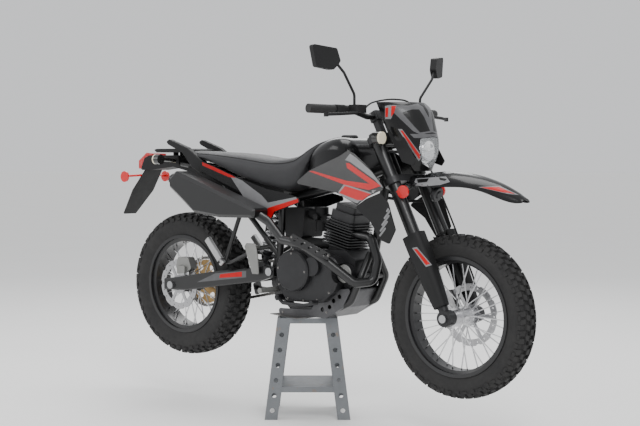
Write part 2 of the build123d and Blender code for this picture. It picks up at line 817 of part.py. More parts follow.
with BuildPart() as fuel_tank:
    add(side_loft(tank_sections))
    add(slab(tunnel_points, 0, tunnel_half, -tunnel_half), mode=Mode.SUBTRACT)
fuel_tank.part.label = "fuel_tank"
export_step(fuel_tank.part, "parts/fuel_tank.step")

with BuildPart() as fuel_cap:
    with BuildSketch(Plane.XY.offset(cap_centre[2] - 14)):
        with Locations((cap_centre[0], cap_centre[1])):
            Circle(cap_radius)
    extrude(amount=28)
    chamfer(fuel_cap.faces().sort_by(Axis.Z)[-1].edges(), 6)
    add(fuel_tank.part, mode=Mode.SUBTRACT)
fuel_cap.part.label = "fuel_cap"
export_step(fuel_cap.part, "parts/fuel_cap.step")

tank_clearance = [(x, half + 1, low - 1, high + 1, corner) for x, half, low, high, corner in tank_sections]
with BuildPart() as seat:
    add(side_loft(seat_sections))
    add(side_loft(tank_clearance), mode=Mode.SUBTRACT)
    for x, y, foot_z, buried_z in seat_feet:
        for sign in (-1, 1):
            add(disc((x, sign * y, (foot_z + buried_z) / 2), 10, (buried_z - foot_z) / 2, (0, 0, 1)))
seat.part.label = "seat"
export_step(seat.part, "parts/seat.step")

# Side panels, tank shrouds and louvred guards, as curved sheets beside the tank and seat
panel_wall = 4
lean_foot = 900
shroud_lean = 0.15


def toed_panel(points, corner, x_start, y_start, x_end, y_end, wall, lean=0):
    """A flat panel on the right that turns outward going forward and inward going up, drawn in x and z."""
    run = Vector(x_end - x_start, y_end - y_start, 0)
    plane = Plane(origin=(x_start, y_start, lean_foot), x_dir=run, z_dir=run.cross(Vector(0, lean, 1)))
    local = []
    for x, z in points:
        y = y_start + (x - x_start) * run.Y / run.X + (z - lean_foot) * lean
        point = plane.to_local_coords(Vector(x, y, z))
        local.append((point.X, point.Y))
    with BuildPart() as piece:
        with BuildSketch(plane):
            add(outline(Plane.XY, local, corner))
        extrude(amount=wall)
    return piece.part


shroud_points = [
    (60, 936), (130, 985), (283, 1040), (332, 1064), (365, 1050), (450, 996), (535, 922), (511, 912),
    (453, 890), (403, 858), (290, 902)]
louvre_points = [(398, 850), (452, 882), (520, 906), (556, 870), (592, 770), (562, 716), (520, 730), (470, 800)]
side_panel_points = [
    (-474, 1028), (-392, 1004), (-266, 962), (-190, 940), (-86, 912), (20, 896), (88, 880), (92, 862),
    (-42, 820), (-66, 786), (-122, 816), (-250, 886), (-470, 985)]

panel_boss_radius = 9
shroud_bosses = [(150, 128.3, 60, 990), (312, 140.3, 60, 1010)]
louvre_stay = [(386, 10, 884), (425, 120, 868), (483, 179, 864)]
side_panel_bosses = [(-250, 129, 89.8, 926), (-100, 133, 79, 890.8)]

shroud = toed_panel(shroud_points, 8, 64, -132, 538, -176, panel_wall, shroud_lean)
louvre = toed_panel(louvre_points, 8, 398, -174, 592, -180, panel_wall)
side_panel = toed_panel(side_panel_points, 8, -474, -120, 92, -136, panel_wall)
with BuildPart() as tank_shrouds:
    add(shroud)
    for x, outer, inner, z in shroud_bosses:
        add(disc((x, -(outer + inner) / 2, z), panel_boss_radius, (outer - inner) / 2))
    add(mirrored(tank_shrouds.part))
    add(fuel_tank.part, mode=Mode.SUBTRACT)
tank_shrouds.part.label = "tank_shrouds"
export_step(tank_shrouds.part, "parts/tank_shrouds.step")

with BuildPart() as louvre_guards:
    add(louvre)
    add(mirrored(louvre_guards.part))
    add(tube([(x, -y, z) for x, y, z in louvre_stay] , 6))
    add(tube(louvre_stay, 6))
    add(main_frame.part, mode=Mode.SUBTRACT)
louvre_guards.part.label = "louvre_guards"
export_step(louvre_guards.part, "parts/louvre_guards.step")

with BuildPart() as side_panels:
    add(side_panel)
    for x, outer, inner, z in side_panel_bosses:
        add(disc((x, -(outer + inner) / 2, z), panel_boss_radius, (outer - inner) / 2))
    add(mirrored(side_panels.part))
side_panels.part.label = "side_panels"
export_step(side_panels.part, "parts/side_panels.step")

# Tail: under-seat fender, carrier with two grab handles, lamp, number bracket, indicators and reflectors
tail_half = 58
tail_top = 1050
tail_points = [
    (-330, 930), (-330, 950), (-420, 972), (-640, 999), (-662, 1004), (-668, tail_top), (-850, tail_top), (-880, 1038),
    (-905, 985), (-845, 985), (-700, 1000), (-480, 954)]
with BuildPart() as rear_fender:
    add(slab(tail_points, 8, tail_half, -tail_half))
rear_fender.part.label = "rear_fender"
export_step(rear_fender.part, "parts/rear_fender.step")

deck_points = [(-588, 1062), (-760, 1062), (-776, 1074), (-756, 1078), (-600, 1078), (-588, 1072)]
handle_points = [(-486, 974), (-456, 980), (-462, 1020), (-562, 1082), (-670, 1118), (-688, 1108), (-676, 1096),
                 (-590, 1060), (-534, 1000)]
handle_width = 24
handle_y = seat_rail_y + subframe_tube + 0.4 + handle_width / 2
rack_posts = (-700, -740)
rack_hole_centre = (-690, 0)
rack_hole_spacing_x = 80
rack_hole_spacing_y = 120
rack_hole_radius = 3.5
with BuildPart() as rear_rack:
    add(slab(deck_points, 3, handle_y - 2, 2 - handle_y))
    with BuildSketch(Plane.XY.offset(1090)):
        with Locations(rack_hole_centre):
            with GridLocations(rack_hole_spacing_x, rack_hole_spacing_y, 2, 2):
                Circle(rack_hole_radius)
    extrude(amount=-40, mode=Mode.SUBTRACT)
    handle = bevelled(handle_points, 6, -handle_y + handle_width / 2, -handle_y - handle_width / 2, 3)
    add([handle, mirrored(handle)])
    for x in rack_posts:
        add(disc((x, 0, tail_top + 7.3), 12, 7, (0, 0, 1)))
rear_rack.part.label = "rear_rack"
export_step(rear_rack.part, "parts/rear_rack.step")

lamp_half = 42
lamp_points = [(-846, 1058), (-884, 1062), (-934, 1026), (-934, 992), (-894, 986), (-866, 1030), (-846, 1040)]
with BuildPart() as tail_light:
    add(slab(lamp_points, 0, lamp_half, -lamp_half))
    add(rear_fender.part, mode=Mode.SUBTRACT)
tail_light.part.label = "tail_light"
export_step(tail_light.part, "parts/tail_light.step")

hanger_wall = 6
hanger_top_half = 50
hanger_mid_half = 62
hanger_foot_half = 36
hanger_sections = [(-880, 984, hanger_top_half), (-950, 892, hanger_mid_half), (-1038, 786, hanger_foot_half)]
with BuildPart() as plate_bracket:
    for (x0, z0, half0), (x1, z1, half1) in zip(hanger_sections, hanger_sections[1:]):
        run = Vector(x1 - x0, 0, z1 - z0)
        face = Plane(origin=(x0, 0, z0), x_dir=run.normalized(), z_dir=Vector(0, 1, 0).cross(run))
        with BuildSketch(face):
            with BuildLine():
                Polyline((0, half0), (run.length, half1), (run.length, -half1), (0, -half0), close=True)
            make_face()
        extrude(amount=hanger_wall)
    add(rear_fender.part, mode=Mode.SUBTRACT)
plate_bracket.part.label = "plate_bracket"
export_step(plate_bracket.part, "parts/plate_bracket.step")

stalk_radius = 8
indicator_radius = 21
rear_indicator = (-674, -172, 1032)
reflector_radius = 24
rear_reflector = (-936, -124, 956)
with BuildPart() as rear_indicators:
    lamp = disc(rear_indicator, indicator_radius, 17, (1, 0, 0))
    stalk = tube([(-690, -50, 1026), (-678, -160, 1032)], stalk_radius)
    round_one = disc(rear_reflector, reflector_radius, 4)
    arm = tube([(-906, -52, 962), (-936, -121, 958)], 5)
    add([lamp, mirrored(lamp), stalk, mirrored(stalk), round_one, mirrored(round_one), arm, mirrored(arm)])
    add([plate_bracket.part, rear_fender.part, tail_light.part], mode=Mode.SUBTRACT)
rear_indicators.part.label = "rear_indicators"
export_step(rear_indicators.part, "parts/rear_indicators.step")

# Swingarm, shock absorber, chain, brake and axles at the rear
arm_inner_y = 100
arm_outer_y = 128
pivot_tube_radius = 22
sleeve_radius = 14.5
arm_points = [
    (-690, 470), (-690, 518), (-612, 528), (-372, 566), (-205, 584), (-110, 604), (-60, 594), (-60, 560),
    (-140, 534), (-317, 510), (-560, 474)]
shock_foot = (-220, 0, 592)
shock_clevis_points = [(-248, 556), (-194, 560), (-204, 606), (-236, 606)]
with BuildPart() as swingarm:
    arm_side = bevelled(arm_points, 6, -arm_inner_y, -arm_outer_y, 5)
    add([arm_side, mirrored(arm_side)])
    with BuildSketch(side(arm_inner_y + 1)):
        with BuildLine():
            FilletPolyline((-262, 536), (-262, 566), (-190, 574), (-190, 544), radius=8, close=True)
        make_face()
    extrude(amount=2 * arm_inner_y + 2)
    clevis = slab(shock_clevis_points, 6, shock_eye_half + running_gap + clevis_wall, shock_eye_half + running_gap)
    add([clevis, mirrored(clevis)])
    sleeve_inner = upright_y + frame_tube + seat_gap
    sleeve = disc((pivot_x, (sleeve_inner + arm_inner_y) / 2, pivot_z), sleeve_radius, (arm_inner_y - sleeve_inner) / 2)
    add([sleeve, mirrored(sleeve)])
    with BuildSketch(side(arm_outer_y + 1)):
        with Locations((pivot_x, pivot_z)):
            Circle(axle_radius + running_gap)
        with Locations((rear_axle_x, rear_axle_z)):
            Circle(axle_radius + running_gap)
    extrude(amount=2 * arm_outer_y + 2, mode=Mode.SUBTRACT)
swingarm.part.label = "swingarm"
export_step(swingarm.part, "parts/swingarm.step")

with BuildPart() as rear_axles:
    add(disc((pivot_x, 0, pivot_z), axle_radius, arm_outer_y + 6))
    add(disc((pivot_x, 0, pivot_z), pivot_tube_radius, upright_y - frame_tube - seat_gap))
    bolt_head = disc((pivot_x, -arm_outer_y - 5, pivot_z), 16, 4.5)
    add(disc(rear_axle, axle_radius, arm_outer_y + 10))
    for sign, inner in ((-1, rear_hub_half + 3), (1, rear_hub_half + 3)):
        with BuildSketch(Plane(origin=(rear_axle_x, sign * inner, rear_axle_z), z_dir=(0, sign, 0))):
            Circle(18)
        extrude(amount=arm_inner_y - inner)
    nut = disc((rear_axle_x, -arm_outer_y - 6, rear_axle_z), 16, 5.7)
    add([nut, mirrored(nut), bolt_head, mirrored(bolt_head)])
rear_axles.part.label = "rear_axles"
export_step(rear_axles.part, "parts/rear_axles.step")

shock_coils = 8
shock_coil_pitch = 20
shock_coil_start = 62
with BuildPart() as shock_absorber:
    shock_line = Vector(*shock_head) - Vector(*shock_foot)
    shock_plane = Plane(origin=shock_foot, x_dir=(0, 1, 0), z_dir=shock_line)
    with BuildSketch(shock_plane):
        Circle(13)
    extrude(amount=shock_line.length)
    for number in range(shock_coils):
        with BuildSketch(shock_plane.offset(shock_coil_start + number * shock_coil_pitch)):
            Circle(36)
        extrude(amount=shock_coil_pitch / 2)
    with BuildSketch(shock_plane.offset(shock_coil_start - 18)):
        Circle(30)
    extrude(amount=14)
    add(disc(shock_head, 17, shock_eye_half))
    add(disc(shock_foot, 15, shock_eye_half))
shock_absorber.part.label = "shock_absorber"
export_step(shock_absorber.part, "parts/shock_absorber.step")

chain_inner = sprocket_tip_radius + 1.5
chain_thickness = 14
chain_width = 15


def chain_loop(rear_radius, front_radius):
    """The slab inside the closed line round both sprockets."""
    with BuildPart() as piece:
        with BuildSketch(side(sprocket_y + chain_width / 2)):
            with BuildLine():
                CenterArc((rear_axle_x, rear_axle_z), rear_radius, 0, 360)
                CenterArc(front_sprocket, front_radius, 0, 360)
            make_hull()
        extrude(amount=chain_width)
    return piece.part


with BuildPart() as chain:
    add(chain_loop(chain_inner + chain_thickness, front_sprocket_radius + chain_thickness))
    add(chain_loop(chain_inner, front_sprocket_radius), mode=Mode.SUBTRACT)
chain.part.label = "chain"
export_step(chain.part, "parts/chain.step")

chain_guard_points = [(-180, 622), (-480, 634), (-524, 622), (-530, 632), (-484, 646), (-180, 634)]
chain_guard_inner = rear_tyre_half_width + moving_gap
chain_guard_outer = arm_inner_y - seat_gap
chain_guard_foot = arm_inner_y + 6
chain_guard_link = [(-310, 627), (-290, 626), (-290, 634), (-310, 635)]
chain_guard_tab = [(-310, 573.3), (-290, 575.4), (-290, 628), (-310, 628)]
with BuildPart() as chain_guard:
    add(slab(chain_guard_points, 3, chain_guard_outer, chain_guard_inner))
    add(slab(chain_guard_tab, 0, chain_guard_foot, chain_guard_foot - 4))
    add(slab(chain_guard_link, 0, chain_guard_foot, chain_guard_outer - 4))
chain_guard.part.label = "chain_guard"
export_step(chain_guard.part, "parts/chain_guard.step")

caliper_y = rear_disc_y
with BuildPart() as rear_caliper:
    with BuildSketch(side(caliper_y + 18)):
        with BuildLine():
            FilletPolyline((-640, 566), (-628, 612), (-566, 612), (-548, 566), (-576, 548), (-616, 548),
                           radius=10, close=True)
        make_face()
    extrude(amount=38)
    with BuildSketch(side(caliper_y + 5 + disc_thickness / 2)):
        with Locations((rear_axle_x, rear_axle_z)):
            Circle(rear_disc_radius + 5)
    extrude(amount=10 + disc_thickness, mode=Mode.SUBTRACT)
    with BuildSketch(side(-arm_inner_y)):
        with BuildLine():
            FilletPolyline((-622, 540), (-622, 575), (-576, 575), (-576, 546), radius=5, close=True)
        make_face()
    extrude(amount=14)
    add(swingarm.part, mode=Mode.SUBTRACT)
rear_caliper.part.label = "rear_caliper"
export_step(rear_caliper.part, "parts/rear_caliper.step")

# Foot pegs with heel guards, and foot levers
peg_bar = (-47, 510)
peg_inner_y = foot_plate_outer + running_gap
peg_outer_y = 222
heel_points = [(-200, 676), (-190, 690), (-140, 690), (-128, 640), (-122, 566), (-158, 566)]
heel_y = arm_outer_y + 12
heel_boss = (-150, 676)
with BuildPart() as foot_pegs:
    peg = disc((peg_bar[0], -(peg_inner_y + peg_outer_y) / 2, peg_bar[1]), 11, (peg_outer_y - peg_inner_y) / 2)
    heel = bevelled(heel_points, 6, -heel_y, -heel_y - 6, 2)
    heel_post = disc((heel_boss[0], -(heel_y + 114) / 2, heel_boss[1]), 7, (heel_y - 114) / 2)
    add([peg, mirrored(peg), heel, mirrored(heel), heel_post, mirrored(heel_post)])
foot_pegs.part.label = "foot_pegs"
export_step(foot_pegs.part, "parts/foot_pegs.step")

pedal_pivot = (-28, 478)
lever_pivot = (20, 500)
lever_boss_y = case_half_width + left_cover_depth + running_gap
with BuildPart() as foot_levers:
    add(disc((pedal_pivot[0], -(peg_inner_y + 140) / 2, pedal_pivot[1]), 12, (140 - peg_inner_y) / 2))
    add(tube([(pedal_pivot[0], -134, pedal_pivot[1]), (40, -182, 464), (150, -186, 462), (196, -186, 470)], 7, 20))
    add(disc((196, -180, 474), 10, 18))
    add(disc((lever_pivot[0], lever_boss_y + 16, lever_pivot[1]), 11, 16))
    add(tube([(lever_pivot[0], lever_boss_y + 22, lever_pivot[1]), (70, 168, 488), (140, 176, 492)], 6, 20))
    add(disc((140, 184, 492), 9, 16))
foot_levers.part.label = "foot_levers"
export_step(foot_levers.part, "parts/foot_levers.step")

# Side stand, folded up along the left of the swingarm
side_stand_length = 292
with BuildPart() as side_stand:
    foot_point = stand_pivot + folded_run * side_stand_length
    add(disc(stand_pivot, 13, stand_boss_half, stand_axis))
    add(tube([tuple(stand_pivot + folded_run * 6), tuple(foot_point)], 10))
    with BuildSketch(Plane(origin=foot_point, x_dir=down_run, z_dir=folded_run)):
        RectangleRounded(54, 40, 8)
    extrude(amount=6)
side_stand.part.label = "side_stand"
export_step(side_stand.part, "parts/side_stand.step")

# Passenger pegs, folded up against the loops of the subframe
folded_peg = Vector(-96, 0, 110).normalized()
passenger_peg_length = 112


def passenger_peg(sign):
    """A flat bar peg on its knuckle and neck, folded up."""
    foot = Vector(peg_pivot[0], sign * peg_hinge_y, peg_pivot[2])
    with BuildPart() as peg_part:
        add(disc(foot, peg_knuckle_radius, 12, Vector(0, 1, 0).cross(folded_peg)))
        with BuildSketch(Plane(origin=foot, x_dir=(0, 1, 0), z_dir=folded_peg)):
            Circle(6.5)
        extrude(amount=16)
        with BuildSketch(Plane(origin=foot + folded_peg * 14, x_dir=(0, 1, 0), z_dir=folded_peg)):
            RectangleRounded(20, 28, 6)
        extrude(amount=passenger_peg_length)
    return peg_part.part


right_peg = passenger_peg(-1)
left_peg = passenger_peg(1)
with BuildPart() as passenger_peg_right:
    add(right_peg)
passenger_peg_right.part.label = "passenger_peg_right"
export_step(passenger_peg_right.part, "parts/passenger_peg_right.step")

with BuildPart() as passenger_peg_left:
    add(left_peg)
passenger_peg_left.part.label = "passenger_peg_left"
export_step(passenger_peg_left.part, "parts/passenger_peg_left.step")

# Handlebar
bar_radius = 11
grip_radius = 17
grip_length = 122
bar_half = [(357, -400, 1217), (400, -205, 1215), (390, -95, 1193)]
bar_points = bar_half + [(x, -y, z) for x, y, z in reversed(bar_half)]
bar_run = (Vector(*bar_half[1]) - Vector(*bar_half[0])).normalized()
bar_end = Vector(*bar_half[0])
riser_y = 36
bar_height = steer.to_local_coords(Vector(390, 0, 1193))

with BuildPart() as handlebar:
    add(tube(bar_points, bar_radius, 60))
handlebar.part.label = "handlebar"
export_step(handlebar.part, "parts/handlebar.step")

# Fork: clamps and stem, upper tubes, guards over the sliders, axle
upper_tube_radius = 25
slider_radius = 19
clamp_height = 26
lower_clamp_z = head_low - 3 - clamp_height
upper_clamp_z = head_high + 3
tube_bottom = 322
tube_top = upper_clamp_z + clamp_height + 12
foot_radius = 22
with BuildPart() as fork_clamps:
    for z in (lower_clamp_z, upper_clamp_z):
        with BuildSketch(steer.offset(z)):
            with Locations((0, 0)):
                Circle(28)
            with Locations((fork_offset, fork_half_spacing), (fork_offset, -fork_half_spacing)):
                Circle(upper_tube_radius + 11)
            make_hull()
            with Locations((fork_offset, fork_half_spacing), (fork_offset, -fork_half_spacing)):
                Circle(upper_tube_radius + running_gap, mode=Mode.SUBTRACT)
        extrude(amount=clamp_height)
    with BuildSketch(steer.offset(lower_clamp_z)):
        Circle(head_radius - head_wall - 0.3)
    extrude(amount=upper_clamp_z - lower_clamp_z + clamp_height + 6)
    with BuildSketch(steer.offset(upper_clamp_z + clamp_height)):
        with Locations((bar_height.X - 2, riser_y), (bar_height.X - 2, -riser_y)):
            RectangleRounded(34, 26, 8)
    extrude(amount=bar_height.Z - upper_clamp_z - clamp_height + bar_radius + 8)
    with BuildSketch(steer.offset(bar_height.Z - 16)):
        with Locations((bar_height.X - 2, 0)):
            RectangleRounded(40, 2 * riser_y + 40, 8)
    extrude(amount=bar_radius + 26)
    add(handlebar.part, mode=Mode.SUBTRACT)
fork_clamps.part.label = "fork_clamps"
export_step(fork_clamps.part, "parts/fork_clamps.step")

with BuildPart() as fork_tubes:
    with BuildSketch(steer.offset(tube_bottom)):
        with Locations((fork_offset, fork_half_spacing), (fork_offset, -fork_half_spacing)):
            Circle(upper_tube_radius)
    extrude(amount=tube_top - tube_bottom)
fork_tubes.part.label = "fork_tubes"
export_step(fork_tubes.part, "parts/fork_tubes.step")

with BuildPart() as fork_sliders:
    with BuildSketch(steer.offset(-30)):
        with Locations((fork_offset, fork_half_spacing), (fork_offset, -fork_half_spacing)):
            Circle(slider_radius)
    extrude(amount=tube_bottom + 30)
    with BuildSketch(side(fork_half_spacing + foot_radius)):
        with Locations((front_axle_x, front_axle_z)):
            Circle(30)
    extrude(amount=2 * foot_radius)
    with BuildSketch(side(-fork_half_spacing + foot_radius)):
        with Locations((front_axle_x, front_axle_z)):
            Circle(30)
    extrude(amount=2 * foot_radius)
    with BuildSketch(side(fork_half_spacing + 40)):
        with Locations((front_axle_x, front_axle_z)):
            Circle(axle_radius + running_gap)
    extrude(amount=2 * fork_half_spacing + 80, mode=Mode.SUBTRACT)
fork_sliders.part.label = "fork_sliders"
export_step(fork_sliders.part, "parts/fork_sliders.step")

axle_collar_radius = 18
with BuildPart() as front_axle_bar:
    add(disc(front_axle, axle_radius, fork_half_spacing + foot_radius + 8))
    for sign in (-1, 1):
        inner = front_disc_y + 8
        with BuildSketch(Plane(origin=(front_axle_x, sign * inner, front_axle_z), z_dir=(0, sign, 0))):
            Circle(axle_collar_radius)
        extrude(amount=fork_half_spacing - foot_radius - inner)
    nut = disc((front_axle_x, -fork_half_spacing - foot_radius - 5, front_axle_z), 15, 4.7)
    add([nut, mirrored(nut)])
front_axle_bar.part.label = "front_axle"
export_step(front_axle_bar.part, "parts/front_axle.step")


guard_wall = 4
guard_low = 46
guard_high = 335
guard_open_y = 74
guard_sections = [(guard_low, 56, 56), (190, 76, 66), (guard_high, 82, 70)]


def guard_body(inset):
    """The rounded body round the right fork leg, smaller by an inset."""
    with BuildPart() as body:
        for z, length, width in guard_sections:
            with BuildSketch(steer.offset(z)):
                with Locations((fork_offset, -fork_half_spacing - 4)):
                    RectangleRounded(length - 2 * inset, width - 2 * inset, 24 - inset)
        loft()
    return body.part


with BuildPart() as guard:
    add(guard_body(0))
    add(guard_body(guard_wall), mode=Mode.SUBTRACT)
    with BuildSketch(steer.offset(guard_low - 1)):
        with Locations((fork_offset, 0)):
            Rectangle(200, 2 * guard_open_y)
    extrude(amount=guard_high - guard_low + 2, mode=Mode.SUBTRACT)

with BuildPart() as guard_rings:
    for z, leg_radius, outer_radius in ((guard_low + 6, slider_radius, 24), (guard_high - 9, upper_tube_radius, 31)):
        with BuildSketch(steer.offset(z)):
            with Locations((fork_offset, -fork_half_spacing)):
                Circle(outer_radius)
                Circle(leg_radius + running_gap, mode=Mode.SUBTRACT)
        extrude(amount=8)

with BuildPart() as fork_guards:
    add([guard.part, guard_rings.part])
    add(mirrored(fork_guards.part))
fork_guards.part.label = "fork_guards"
export_step(fork_guards.part, "parts/fork_guards.step")

front_caliper_angle = 62
caliper_centre = (
    front_axle_x - (front_disc_radius - 16) * sin(radians(front_caliper_angle)),
    front_axle_z + (front_disc_radius - 16) * cos(radians(front_caliper_angle)))
with BuildPart() as front_caliper:
    with BuildSketch(side(front_disc_y + 20)):
        with Locations(Location((caliper_centre[0], caliper_centre[1], 0), (0, 0, 1), 28)):
            RectangleRounded(52, 76, 10)
    extrude(amount=38)
    with BuildSketch(side(front_disc_y + disc_thickness / 2 + 5)):
        with Locations((front_axle_x, front_axle_z)):
            Circle(front_disc_radius + 5)
    extrude(amount=disc_thickness + 10, mode=Mode.SUBTRACT)
    with BuildSketch(side(fork_half_spacing)):
        with BuildLine():
            Polyline((front_axle_x - 92, front_axle_z + 74), (front_axle_x - 40, front_axle_z + 110),
                     (front_axle_x - 30, front_axle_z + 70), (front_axle_x - 70, front_axle_z + 46), close=True)
        make_face()
    extrude(amount=14)
    add([fork_sliders.part, fork_guards.part], mode=Mode.SUBTRACT)
front_caliper.part.label = "front_caliper"
export_step(front_caliper.part, "parts/front_caliper.step")

# Grips, hand controls and mirrors
with BuildPart() as grips:
    with BuildSketch(Plane(origin=bar_end - bar_run * 4, z_dir=bar_run)):
        Circle(grip_radius)
    extrude(amount=grip_length)
    add(mirrored(grips.part))
    add(handlebar.part, mode=Mode.SUBTRACT)
grips.part.label = "grips"
export_step(grips.part, "parts/grips.step")

lever_points = [(422, -190, 1210), (446, -232, 1202), (446, -330, 1196), (428, -388, 1193)]
switch_start = grip_length - 4 + seat_gap
with BuildPart() as hand_controls:
    with BuildSketch(Plane(origin=bar_end + bar_run * switch_start, z_dir=bar_run)):
        RectangleRounded(40, 36, 10)
    extrude(amount=38)
    with BuildSketch(Plane(origin=bar_end + bar_run * (switch_start + 38), z_dir=bar_run)):
        Circle(17)
    extrude(amount=28)
    with BuildSketch(Plane(origin=(424, -196, 1204), z_dir=(0, 0, 1))):
        RectangleRounded(44, 62, 8)
    extrude(amount=30)
    add(tube(lever_points, 6, 20))
    with BuildSketch(Plane(origin=lever_points[-1], z_dir=(0, 0, 1))):
        Circle(8.5)
    extrude(amount=8, both=True)
    add(mirrored(hand_controls.part))
    add(handlebar.part, mode=Mode.SUBTRACT)
hand_controls.part.label = "hand_controls"
export_step(hand_controls.part, "parts/hand_controls.step")

mirror_turn = 20
mirror_outer = (378, -417)
mirror_points = [(0, 1449), (106, 1437), (122, 1391), (113, 1378), (92, 1358), (78, 1358), (18, 1367)]
mirror_depth = 26
stem_points = [(421, -212, 1234.3), (421, -212, 1272), (428, -284, 1350), (414, -320, 1390)]
mirror_across = Vector(sin(radians(mirror_turn)), cos(radians(mirror_turn)), 0)
mirror_plane = Plane(origin=(mirror_outer[0], mirror_outer[1], 0), x_dir=mirror_across,
                     z_dir=mirror_across.cross(Vector(0, 0, 1)))
with BuildPart() as mirrors:
    with BuildSketch(mirror_plane.offset(-mirror_depth / 2)):
        add(outline(Plane.XY, mirror_points, 9))
    extrude(amount=mirror_depth)
    add(tube(stem_points, 5, 24))
    add(mirrored(mirrors.part))
mirrors.part.label = "mirrors"
export_step(mirrors.part, "parts/mirrors.step")

# Headlight cowl, lamp and front indicators
cowl_wall = 4
cowl_sections = [
    (986, 613, 54, 584),
    (1010, 622, 66, 574),
    (1060, 639, 84, 552),
    (1110, 634, 98, 524),
    (1180, 613, 114, 484),
    (1246, 566, 118, 452),
]


def shield(outset, sections):
    """A solid behind the curved front face: columns z, front x, half width, side x."""
    with BuildPart() as piece:
        for z, front, half, rear in sections:
            with BuildSketch(Plane.XY.offset(z)):
                with BuildLine():
                    ThreePointArc((rear, -half + outset), (front - outset, 0), (rear, half - outset))
                    Line((rear, half - outset), (rear, -half + outset))
                make_face()
        loft()
    return piece.part


lens_points = [(-60, 1108), (0, 1114), (60, 1108), (64, 1070), (42, 1014), (0, 996), (-42, 1014), (-64, 1070)]
lens_plane = Plane(origin=(585, 0, 0), x_dir=(0, 1, 0), z_dir=(1, 0, 0))
with BuildPart() as lens_hole:
    with BuildSketch(lens_plane):
        add(outline(Plane.XY, lens_points, 8))
    extrude(amount=90)
with BuildPart() as lens_plug:
    with BuildSketch(lens_plane):
        add(outline(Plane.XY, lens_points, 8))
        offset(amount=-seat_gap)
    extrude(amount=90)

cowl_outer = shield(0, cowl_sections)
cowl_inner_sections = [(z + dz, front, half, rear) for (z, front, half, rear), dz in zip(
    cowl_sections, (-1, 0, 0, 0, 0, 1))]
cowl_inner = shield(cowl_wall, cowl_inner_sections)
lens_inner = shield(cowl_wall - 1, cowl_inner_sections)

with BuildPart() as headlight_cowl:
    add(cowl_outer)
    add(cowl_inner, mode=Mode.SUBTRACT)
    add(lens_hole.part, mode=Mode.SUBTRACT)
    cowl_stay = tube([(466, -96, 1062), (556, -80, 1056)], 6)
    add([cowl_stay, mirrored(cowl_stay)])
    add(fork_tubes.part, mode=Mode.SUBTRACT)
headlight_cowl.part.label = "headlight_cowl"
export_step(headlight_cowl.part, "parts/headlight_cowl.step")

with BuildPart() as headlight_lens:
    add(cowl_outer)
    add(lens_inner, mode=Mode.SUBTRACT)
    add(lens_plug.part, mode=Mode.INTERSECT)
headlight_lens.part.label = "headlight_lens"
export_step(headlight_lens.part, "parts/headlight_lens.step")

bucket_front = 597
bucket_depth = 34
with BuildPart() as headlight:
    with BuildSketch(Plane(origin=(bucket_front - bucket_depth, 0, 0), x_dir=(0, 1, 0), z_dir=(1, 0, 0))):
        add(outline(Plane.XY, lens_points, 8))
        offset(amount=-14)
    extrude(amount=bucket_depth)
    lamp_arm = tube([(476, -88, 1082), (572, -40, 1078)], 7)
    add([lamp_arm, mirrored(lamp_arm)])
    add([fork_tubes.part, fork_clamps.part], mode=Mode.SUBTRACT)
    add(headlight_cowl.part, mode=Mode.SUBTRACT)
headlight.part.label = "headlight"
export_step(headlight.part, "parts/headlight.step")

front_indicator = (496, -160, 1110)
fork_reflector = (580, -121, 909)
with BuildPart() as front_indicators:
    lamp = disc(front_indicator, indicator_radius + 2, 18, (1, 0, 0))
    stalk = tube([(466, -112, 1082), (490, -148, 1106)], 7)
    round_one = disc(fork_reflector, reflector_radius, 4)
    strap = tube([(548, -114, 909), (582, -118, 909)], 5)
    pieces = [lamp, stalk, round_one, strap]
    add(pieces + [mirrored(one) for one in pieces])
    add([fork_tubes.part, fork_clamps.part], mode=Mode.SUBTRACT)
front_indicators.part.label = "front_indicators"
export_step(front_indicators.part, "parts/front_indicators.step")

# Front fender: crowned sections across x, and a tongue under the lower clamp
fender_wall = 4
fender_sections = [
    (556, 968, 62, 20),
    (626, 980, 74, 44),
    (720, 985, 76, 52),
    (830, 973, 72, 42),
    (930, 944, 60, 40),
    (1034, 890, 26, 10),
]


def fender_solid(sink):
    """The crowned body under the fender's skin: columns x, top z, half width, drop at the side."""
    with BuildPart() as piece:
        for x, top, half, drop in fender_sections:
            section = Plane(origin=(x, 0, 0), x_dir=(0, 1, 0), z_dir=(1, 0, 0))
            with BuildSketch(section):
                with BuildLine():
                    ThreePointArc((-half + sink, top - drop - sink), (0, top - sink), (half - sink, top - drop - sink))
                    Polyline((half - sink, top - drop - sink), (half - sink, top - drop - 2 * sink - 6),
                             (-half + sink, top - drop - 2 * sink - 6), (-half + sink, top - drop - sink))
                make_face()
        loft()
    return piece.part


with BuildPart() as front_fender:
    add(fender_solid(0))
    add(fender_solid(fender_wall), mode=Mode.SUBTRACT)
    with BuildSketch(steer.offset(lower_clamp_z - seat_gap)):
        with Locations((42, 0)):
            RectangleRounded(100, 84, 8)
    extrude(amount=-fender_wall)
    add(slab([(556.5, 947), (556.5, 964), (576, 971), (576, 958)], 0, 42, -42))
front_fender.part.label = "front_fender"
export_step(front_fender.part, "parts/front_fender.step")
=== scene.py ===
import bpy
import bmesh
from math import acos, atan2, cos, pi, radians, sin, sqrt
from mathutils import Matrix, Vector, noise
from mathutils.bvhtree import BVHTree


